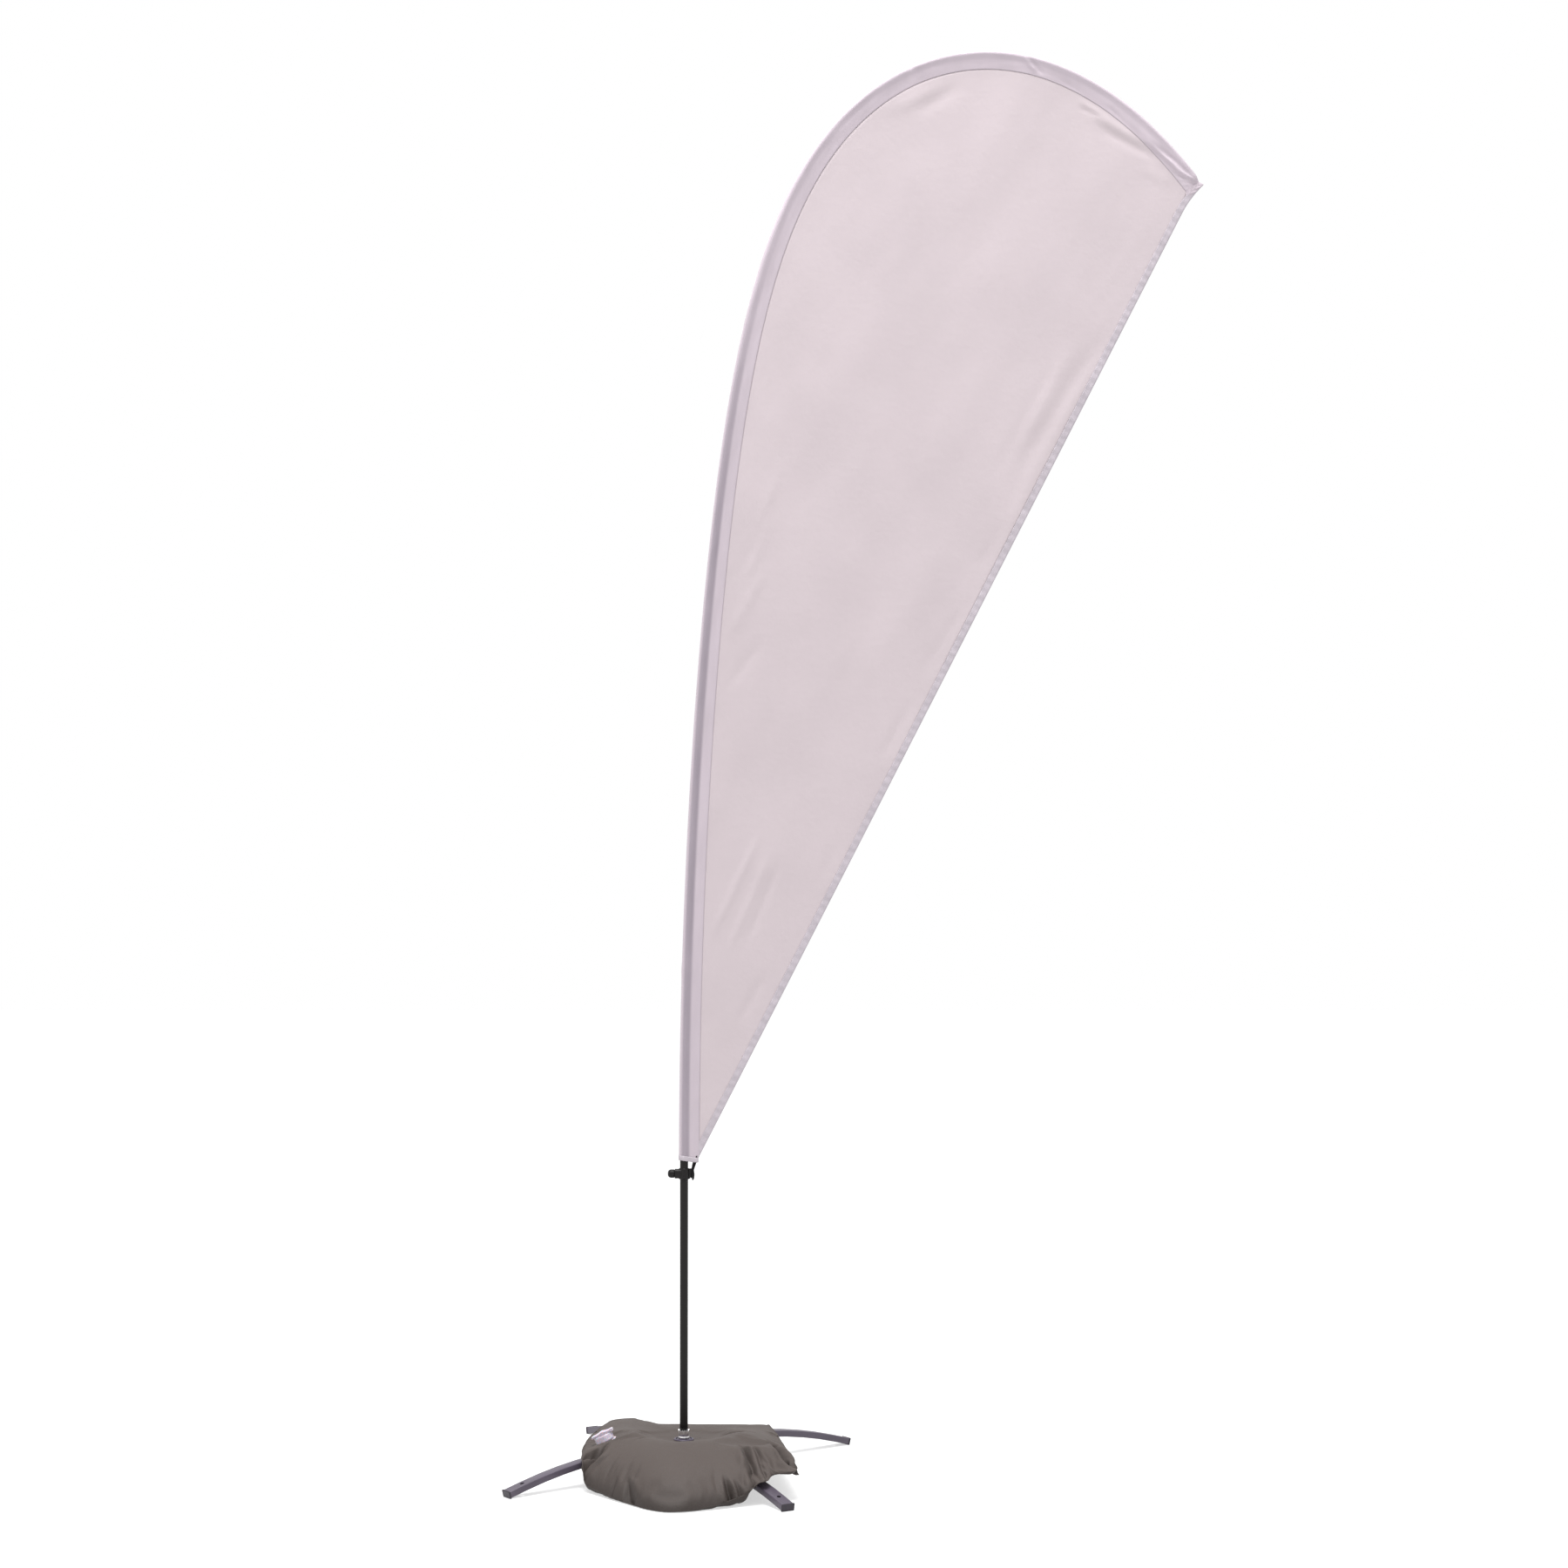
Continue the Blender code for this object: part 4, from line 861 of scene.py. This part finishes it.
def make_hub():
    low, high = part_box("hub")
    radius = (high.x - low.x) / 2
    bm = turned([(0.0045, low.z), (radius - 0.0004, low.z), (radius, low.z + 0.0004),
                 (radius, low.z + 0.0032), (radius - 0.0004, low.z + 0.0041),
                 (radius - 0.0014, low.z + 0.0046), (0.0055, low.z + 0.0046), (0.0050, high.z),
                 (0.0045, high.z)], 96)
    bmesh.ops.translate(bm, verts=bm.verts, vec=SPINDLE)
    return piece("hub_disc", bm, BASE, "hub", ("hub",), sharp=50)


def make_knob():
    """Fluted knob of the thumbscrew, domed at its end."""
    low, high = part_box("thumbscrew_knob")
    radius, length = (high.y - low.y) / 2, high.x - low.x
    profile = [(0.0034, 0.0), (radius * 0.84, 0.0), (radius * 0.97, length * 0.06), (radius, length * 0.14),
               (radius, length * 0.52), (radius * 0.97, length * 0.64), (radius * 0.88, length * 0.78),
               (radius * 0.70, length * 0.90), (radius * 0.42, length * 0.975), (0.0, length),
               (0.0, length * 0.7), (0.0034, length * 0.62)]
    bm = turned(profile, 120)
    for vert in bm.verts:
        reach = math.hypot(vert.co.x, vert.co.y)
        if reach > radius * 0.6:
            angle = math.atan2(vert.co.y, vert.co.x)
            flute = max(0.0, math.cos(12 * angle)) ** 2
            cut = 0.0011 * flute * ease(reach, radius * 0.6, radius * 0.98)
            vert.co.x *= 1 - cut / reach
            vert.co.y *= 1 - cut / reach
    place = (Matrix.Translation((high.x, 0, (low.z + high.z) / 2))
             @ Matrix.Rotation(math.radians(-90), 4, "Y"))
    bmesh.ops.transform(bm, matrix=place, verts=bm.verts)
    return piece("knob", bm, KNOB, "dark", ("thumbscrew_knob",), sharp=50)


# ---- filling cap ----

CAP_AT = SPINDLE + Vector((-0.1775, -0.070, 0.079))
CAP_TURN = Matrix.Rotation(math.radians(-24), 4, "Y")


def make_filler():
    """Flange and threaded neck on the bag, and the milky cap with its two wings."""
    place = Matrix.Translation(CAP_AT) @ CAP_TURN
    neck = turned([(0.0160, 0.0), (0.0255, 0.0), (0.0262, 0.0004), (0.0262, 0.0009), (0.0256, 0.0015),
                   (0.0240, 0.0019), (0.0196, 0.0022), (0.0186, 0.0030), (0.0183, 0.0050),
                   (0.0186, 0.0058), (0.0183, 0.0066), (0.0183, 0.0082), (0.0186, 0.0090),
                   (0.0183, 0.0098), (0.0183, 0.0136), (0.0180, 0.0140), (0.0162, 0.0140)], 96)
    bmesh.ops.transform(neck, matrix=place, verts=neck.verts)
    flange = piece("filler_neck", neck, BAG, "cap", ("fill_flange",), sharp=50)

    skirt_low, top = 0.0036, 0.0186
    cap = turned([(0.0190, skirt_low), (0.0214, skirt_low), (0.0221, skirt_low + 0.0006),
                  (0.0222, skirt_low + 0.0024), (0.0216, skirt_low + 0.0030), (0.0214, top - 0.0022),
                  (0.0208, top - 0.0006), (0.0196, top), (0.0, top), (0.0, top - 0.0026),
                  (0.0190, top - 0.0030)], 120)
    for vert in cap.verts:
        reach = math.hypot(vert.co.x, vert.co.y)
        if reach > 0.0205 and skirt_low + 0.0028 < vert.co.z < top - 0.001:
            rib = max(0.0, math.cos(30 * math.atan2(vert.co.y, vert.co.x)))
            vert.co.x *= 1 + 0.0007 * rib / reach
            vert.co.y *= 1 + 0.0007 * rib / reach
    bmesh.ops.transform(cap, matrix=place, verts=cap.verts)
    skirt = piece("cap_skirt", cap, CAP, "cap", ("fill_cap",), sharp=50)

    wings = bmesh.new()
    bmesh.ops.create_cube(wings, size=1.0)
    bmesh.ops.subdivide_edges(wings, edges=wings.edges, cuts=9, use_grid_fill=True)
    for vert in wings.verts:
        x, y, z = vert.co
        reach = 2 * abs(x)
        width = 0.0130 * math.sqrt(max(0.05, 1 - 0.62 * reach ** 2.4))
        droop = 0.0022 * reach ** 2 * (1 if x < 0 else -0.5)
        ridge = 0.0034 * math.exp(-(x / 0.13) ** 2) + 0.0016 * math.exp(-((reach - 0.86) / 0.12) ** 2)
        thickness = 0.0042 + ridge
        height = top + 0.0003 + (thickness - 0.6 * droop) * (z + 0.5)
        vert.co = Vector((0.0530 * x, 2 * width * y, height))
    round_edges(wings, 0.0010, 3, 50)
    bmesh.ops.transform(wings, matrix=place, verts=wings.verts)
    grip = piece("cap_wings", wings, CAP, "cap", sharp=50)
    return [flange, skirt, grip]


# ---- water bag ----

HOLE_RADIUS, WELD_RADIUS = 0.0187, 0.032
ARM_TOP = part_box("hub")[0].z
WELD_LOW, WELD_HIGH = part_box("bag_grommet")[0].z - 0.0019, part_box("bag_grommet")[0].z - 0.0003
UPPER_ARM_ANGLE, LOWER_ARM_ANGLE = math.radians(36.7), math.radians(120.4)
FRONT_CROWN, BACK_CROWN = 0.034, 0.003
FILL_LIMIT = 0.008               # how far filling may move the skin

# Places on the seam round the bag, each with the share of its sides that is rounded off
BAG_EDGE = (
    (Vector((0.236, -0.070, 0.068)), 0.50),    # right
    (Vector((0.193, 0.213, 0.057)), 0.16),     # back right corner
    (Vector((0.000, 0.262, 0.046)), 0.50),     # back
    (Vector((-0.180, 0.272, 0.042)), 0.16),    # back left corner
    (Vector((-0.234, -0.040, 0.064)), 0.50),   # left, past the filler
    (Vector((-0.222, -0.222, 0.020)), 0.22),   # front left corner
    (Vector((-0.150, -0.310, 0.005)), 0.45),
    (Vector((-0.030, -0.448, 0.002)), 0.45),   # front, on the ground
    (Vector((0.085, -0.402, 0.008)), 0.40),
    (Vector((0.197, -0.350, 0.040)), 0.25),    # over the lower arm
    (Vector((0.208, -0.306, 0.056)), 0.22),    # notch beside it
    (Vector((0.268, -0.334, 0.071)), 0.24),    # flap in the air
)
# Creases in the upper skin: start (x, y), end (x, y) nearer the seam, half width, depth
CREASES = (
    ((0.190, -0.110), (0.232, -0.215), 0.0070, 0.022),
    ((0.200, -0.200), (0.250, -0.272), 0.0060, 0.013),
    ((0.132, -0.180), (0.160, -0.292), 0.0075, 0.022),
    ((0.158, -0.210), (0.184, -0.290), 0.0055, 0.013),
    ((0.104, -0.342), (0.120, -0.392), 0.0060, 0.022),
    ((0.128, -0.352), (0.140, -0.386), 0.0050, 0.013),
    ((-0.160, -0.150), (-0.208, -0.196), 0.0065, 0.017),
    ((-0.158, -0.190), (-0.198, -0.216), 0.0050, 0.008),
    ((-0.118, -0.306), (-0.108, -0.346), 0.0055, 0.015),
    ((-0.142, -0.276), (-0.150, -0.306), 0.0050, 0.007),
    ((0.190, 0.030), (0.222, 0.036), 0.0070, 0.005),
    ((-0.190, 0.080), (-0.218, 0.084), 0.0070, 0.005),
)
BAG_AROUND, BAG_ROWS = 360, 34


def bag_outline():
    """Points evenly spaced along the seam, which is straight between its rounded corners."""
    fine = []
    for k, (corner, share) in enumerate(BAG_EDGE):
        start = corner.lerp(BAG_EDGE[k - 1][0], share)
        end = corner.lerp(BAG_EDGE[(k + 1) % len(BAG_EDGE)][0], share)
        fine += [start.lerp(corner, t / 24).lerp(corner.lerp(end, t / 24), t / 24) for t in range(25)]
    fine.append(fine[0])
    lengths = [0.0]
    for p, q in zip(fine, fine[1:]):
        lengths.append(lengths[-1] + (q - p).length)
    points = []
    segment = 0
    for k in range(BAG_AROUND):
        target = lengths[-1] * k / BAG_AROUND
        while lengths[segment + 1] < target:
            segment += 1
        span = lengths[segment + 1] - lengths[segment]
        point = fine[segment].lerp(fine[segment + 1], (target - lengths[segment]) / span)
        pull = 0.0016 * noise.noise(Vector((point.x * 24, point.y * 24, 2.0)))
        points.append(point - point.xy.normalized().to_3d() * pull)
    return points


def crease_depth(x, y):
    """Depth of the creases at a place, sharp along their beds and with a soft lip on each side."""
    total = 0.0
    for (x0, y0), (x1, y1), width, depth in CREASES:
        run_x, run_y = x1 - x0, y1 - y0
        length = math.hypot(run_x, run_y)
        t = ((x - x0) * run_x + (y - y0) * run_y) / length / length
        away = ((x - x0) * run_y - (y - y0) * run_x) / length
        away += 0.003 * math.sin(3.0 * t + 40 * x0)
        if -0.1 < t < 1.9 and abs(away) < 0.06:
            near = width * mix(0.5, 1.2, ease(t))
            bed = math.exp(-(abs(away) / near) ** 1.25)
            lips = math.exp(-((abs(away) - 2.3 * near) / near) ** 2)
            total += depth * ease(t, -0.1, 0.8) * ease(1.9 - t, 0.0, 0.4) * (bed - 0.22 * lips)
    return total


OUTLINE = bag_outline()


def arm_top(distance):
    """Height of the upper arm's top face, which arches down from its flat middle."""
    bend, reach = 1.1, 0.187
    fall = max(0.0, distance - reach)
    return ARM_TOP - 0.0003 - bend + math.sqrt(max(0.0, bend ** 2 - fall ** 2))


def over_gap(point):
    """0 where the bag lies over the arms or their way, 1 well inside the front or back gap."""
    def beyond(angle):
        return -point.x * math.sin(angle) + point.y * math.cos(angle)
    upper, lower = beyond(UPPER_ARM_ANGLE), beyond(LOWER_ARM_ANGLE)
    return ease(max(min(-upper, lower), min(upper, -lower)), 0.022, 0.060)


def rest_height(point):
    return arm_top(math.hypot(point.x, point.y)) + 0.0022


def seam_height(edge):
    floor = rest_height(edge) + 0.0012
    return edge.z if edge.z > floor else floor + (edge.z - floor) * over_gap(edge)


def bag_skin(edge, part, upper):
    """A point of the bag's skin; part runs from the weld round the hole (0) to the seam (1)."""
    way = edge.xy.normalized()
    flat = (way * WELD_RADIUS).lerp(edge.xy, part).to_3d()
    lip = seam_height(edge)
    if not upper:
        lowest = rest_height(flat)
        ground = 0.0020 + 0.045 * (1 - ease(part / 0.45))
        height = lowest + (ground - lowest) * over_gap(flat)
        rim = max(0.0, (part - 0.80) / 0.20)
        height = mix(height, max(lip, height), 1 - math.sqrt(max(0.0, 1 - rim * rim)))
        return Vector((flat.x, flat.y, height))
    height = lip + (WELD_HIGH - lip) * (1 - part ** 3) ** 0.7
    crown = mix(BACK_CROWN, FRONT_CROWN, 0.5 - 0.5 * way.y)
    height += crown * math.sin(math.pi * part ** 0.85) ** 0.9 * ease(part, 0.0, 0.50)
    pucker = noise.noise(Vector((edge.x * 22, edge.y * 22, 5.0))) * (0.6 - 0.5 * way.y)
    height += 0.0035 * pucker * ease(part, 0.70, 0.96) * ease(1.0 - part, 0.0, 0.05)
    height += 0.0018 * noise.noise(Vector((flat.x * 9, flat.y * 9, 1.0))) * math.sin(math.pi * part)
    cap_x = flat.x - (CAP_AT.x - SPINDLE.x)
    near_cap = math.hypot(cap_x, flat.y - CAP_AT.y)
    under = CAP_AT.z + math.tan(math.radians(24)) * cap_x - 0.0008
    height = mix(under, height, ease(near_cap, 0.029, 0.080))
    return Vector((flat.x, flat.y, height))


def make_bag():
    """The water bag: two skins welded round the hole and along the outer seam, filled tight."""
    rows = 2 * BAG_ROWS + 6

    def place(across, along):
        k = round(along * BAG_AROUND) % BAG_AROUND
        row = round(across * rows) % rows
        edge = OUTLINE[k]
        inward = edge.xy.normalized()
        lip = Vector((edge.x, edge.y, seam_height(edge)))
        if row in (0, 1):
            radius = HOLE_RADIUS if row == 0 else WELD_RADIUS - 0.004
            point = (inward * radius).to_3d() + Vector((0, 0, WELD_HIGH))
        elif row <= BAG_ROWS + 1:
            point = bag_skin(edge, (row - 1.5) / (BAG_ROWS + 0.5), True)
        elif row == BAG_ROWS + 2:
            point = lip + Vector((0, 0, 0.0007))
        elif row == BAG_ROWS + 3:
            point = lip - Vector((0, 0, 0.0007))
        elif row <= 2 * BAG_ROWS + 3:
            point = bag_skin(edge, (2 * BAG_ROWS + 4.5 - row) / (BAG_ROWS + 0.5), False)
        else:
            radius = WELD_RADIUS - 0.004 if row == rows - 2 else HOLE_RADIUS
            point = (inward * radius).to_3d() + Vector((0, 0, WELD_LOW))
        return SPINDLE + point, (along * 2.0, across)

    bm = cloth(BAG_AROUND, rows, place, welded=True)
    bag = piece("bag_skin", bm, None, "bag", ("water_bag",), sharp=60)
    inflate(bag)
    crease(bag)
    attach(bag, BAG)
    return [bag, make_bag_seam()]


def make_bag_seam():
    """Welded bead along the seam between the two skins."""
    seam = [SPINDLE + Vector((e.x, e.y, seam_height(e))) for e in OUTLINE]

    def place(along, across):
        k = round(along * BAG_AROUND) % BAG_AROUND
        here, ahead = seam[k], seam[(k + 1) % BAG_AROUND]
        run = (ahead - seam[k - 1]).normalized()
        out = Vector((run.y, -run.x, 0.0)).normalized()
        up = run.cross(out)
        angle = 2 * math.pi * across
        return (here + 0.0011 * math.cos(angle) * out + 0.0009 * math.sin(angle) * up,
                (along * 2.0, across * 0.008))

    return piece("bag_seam", cloth(6, BAG_AROUND, place, welded=True), BAG, "bag")


def inflate(bag):
    """Fill the bag: a cloth slightly larger than its space, held at its seam and its hole."""
    start = [v.co.copy() for v in bag.data.vertices]
    held = bag.vertex_groups.new(name="held")
    seam = [SPINDLE + Vector((e.x, e.y, seam_height(e))) for e in OUTLINE]
    for vert in bag.data.vertices:
        weight = max(1 - ease((vert.co.xy - SPINDLE.xy).length, WELD_RADIUS + 0.004, 0.110),
                     1 - ease((vert.co.xy - CAP_AT.xy).length, 0.032, 0.060))
        if min((vert.co - point).length for point in seam[::2]) < 0.0045:
            weight = 1.0
        if weight > 0:
            held.add([vert.index], weight, "REPLACE")
    step = bag.modifiers.new("fill", "CLOTH")
    fabric = step.settings
    fabric.quality = 5
    fabric.mass = 0.3
    fabric.tension_stiffness = fabric.compression_stiffness = 40
    fabric.bending_stiffness = 0.4
    fabric.shrink_min = fabric.shrink_max = -0.04
    fabric.use_pressure, fabric.uniform_pressure_force = True, 4.0
    fabric.effector_weights.gravity = 0.0
    fabric.vertex_group_mass = "held"
    step.collision_settings.use_collision = False
    step.point_cache.frame_start, step.point_cache.frame_end = 1, 20
    scene = bpy.context.scene
    for number in range(1, 21):
        scene.frame_set(number)
    filled = bag.evaluated_get(bpy.context.evaluated_depsgraph_get()).to_mesh()
    moved = [v.co.copy() for v in filled.vertices]
    bag.modifiers.remove(step)
    scene.frame_set(1)
    for vert, before, after in zip(bag.data.vertices, start, moved):
        shift = after - before
        limit = FILL_LIMIT * mix(0.1, 1.0, ease(-before.y, -0.16, 0.10))
        if shift.length > limit:
            shift = shift.normalized() * limit
        vert.co = before + shift
    bag.vertex_groups.clear()


def crease(bag):
    """Round the skin, press its creases in, and hold it above the ground and the arms."""
    step = bag.modifiers.new("round", "SUBSURF")
    step.levels = step.render_levels = 1
    smooth = bag.evaluated_get(bpy.context.evaluated_depsgraph_get()).to_mesh()
    bm = bmesh.new()
    bm.from_mesh(smooth)
    bag.modifiers.remove(step)
    bm.normal_update()
    for vert in bm.verts:
        local = vert.co - SPINDLE
        reach = math.hypot(local.x, local.y)
        if vert.normal.z > 0.05 and reach > 0.07:
            sink = crease_depth(local.x, local.y)
            vert.co -= sink * ease(reach, 0.07, 0.12) * (0.6 * vert.normal + Vector((0, 0, 0.4)))
        floor = mix(rest_height(local) - 0.0010, 0.0012, over_gap(local))
        if reach > WELD_RADIUS and vert.co.z < floor:
            vert.co.z = floor
    loose = [v for v in bm.verts if math.hypot(v.co.x - SPINDLE.x, v.co.y) > WELD_RADIUS + 0.004]
    bmesh.ops.smooth_vert(bm, verts=loose, factor=0.25, use_axis_x=True, use_axis_y=True,
                          use_axis_z=True)
    bm.to_mesh(bag.data)
    bm.free()


def make_grommet():
    """Ring welded over the bag's hole."""
    low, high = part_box("bag_grommet")
    outer, inner = (high.x - low.x) / 2, 0.0183
    bm = turned([(inner, low.z), (outer - 0.0003, low.z), (outer, low.z + 0.0003),
                 (outer - 0.0002, low.z + 0.0012), (outer - 0.0012, low.z + 0.0021),
                 (outer - 0.0028, high.z - 0.0002), (inner + 0.0014, high.z),
                 (inner + 0.0003, high.z - 0.0003), (inner, high.z - 0.0010)], 96)
    bmesh.ops.translate(bm, verts=bm.verts, vec=SPINDLE)
    return piece("hole_ring", bm, BAG, "ring", ("bag_grommet",), sharp=50)


# ---- base ----

def make_base():
    rounded("lower_leg", "lower_arm", BASE, "arm", 0.0006)
    rounded("upper_leg", "upper_arm", FOLDING, "arm", 0.0006)
    for name, body in (("lower_arm", BASE), ("upper_arm", FOLDING)):
        for end in ("front", "back"):
            rounded(f"{name}_{end}_end_cap", f"{name}_{end}_plug", body, "plug", 0.0006)
    rounded("clamp_body", "clamp_collar", CLAMP, "dark", 0.0008, 3)


def paint_the_rest():
    """The CAD nodes that stay take their slot's look."""
    by_node = {s["node"]: s["material_slot"] for s in frame["record"]["subparts"]}
    for name, node in frame["nodes"].items():
        if not node.hide_render:
            node.data.materials.clear()
            node.data.materials.append(LOOKS[by_node[name]])


# ---- studio ----

EYE, EYE_TILT = (-0.1825, -6.5, 1.42), 91.6         # 6.5 m in front, looking up a little
LENS, FILM_WIDTH = 63.5, 36.0                       # millimetres
FLOOR_HALF_WIDTH = 20.0
LIGHTS = (                                          # name, place, aim, width, watts
    ("overhead", (-0.7, -0.9, 8.0), (-0.3, 0.0, 0.4), 4.0, 800),
    ("upper_left", (-6.5, -3.6, 4.2), (0.1, 0.0, 1.8), 1.6, 40),
)


def make_studio():
    """White floor, white surroundings, two lights and the camera."""
    floor = bmesh.new()
    bmesh.ops.create_grid(floor, x_segments=1, y_segments=1, size=FLOOR_HALF_WIDTH)
    mesh = bpy.data.meshes.new("studio_floor")
    floor.to_mesh(mesh)
    floor.free()
    mesh.materials.append(pale_floor())
    ground = bpy.data.objects.new("studio_floor", mesh)
    bpy.context.scene.collection.objects.link(ground)

    world = bpy.data.worlds.new("studio")
    world.use_nodes = True
    background = world.node_tree.nodes["Background"]
    background.inputs["Color"].default_value = (1.0, 1.0, 1.0, 1.0)
    background.inputs["Strength"].default_value = 1.0
    bpy.context.scene.world = world
    bpy.context.scene.view_settings.view_transform = "Standard"

    for name, place, aim, size, power in LIGHTS:
        light = bpy.data.lights.new(name, "AREA")
        light.size, light.energy = size, power
        lamp = bpy.data.objects.new(name, light)
        lamp.location = place
        lamp.rotation_euler = (Vector(aim) - lamp.location).to_track_quat("-Z", "Y").to_euler()
        bpy.context.scene.collection.objects.link(lamp)

    camera = bpy.data.cameras.new("camera")
    camera.lens, camera.sensor_width, camera.clip_end = LENS, FILM_WIDTH, 60.0
    eye = bpy.data.objects.new("camera", camera)
    eye.location = EYE
    eye.rotation_euler = (math.radians(EYE_TILT), 0.0, 0.0)
    bpy.context.scene.collection.objects.link(eye)
    bpy.context.scene.camera = eye


def main():
    make_studio()
    panel = make_panel()
    sleeve = make_sleeve()
    hem = make_hem()
    sewing = make_stitching()
    tip = make_tip()
    foot = make_foot()
    strap = make_strap()
    cut_area()
    [hem] + sewing
    make_pole()
    make_cup()
    make_hub()
    make_knob()
    make_filler()
    make_bag()
    make_grommet()
    make_base()
    paint_the_rest()


main()
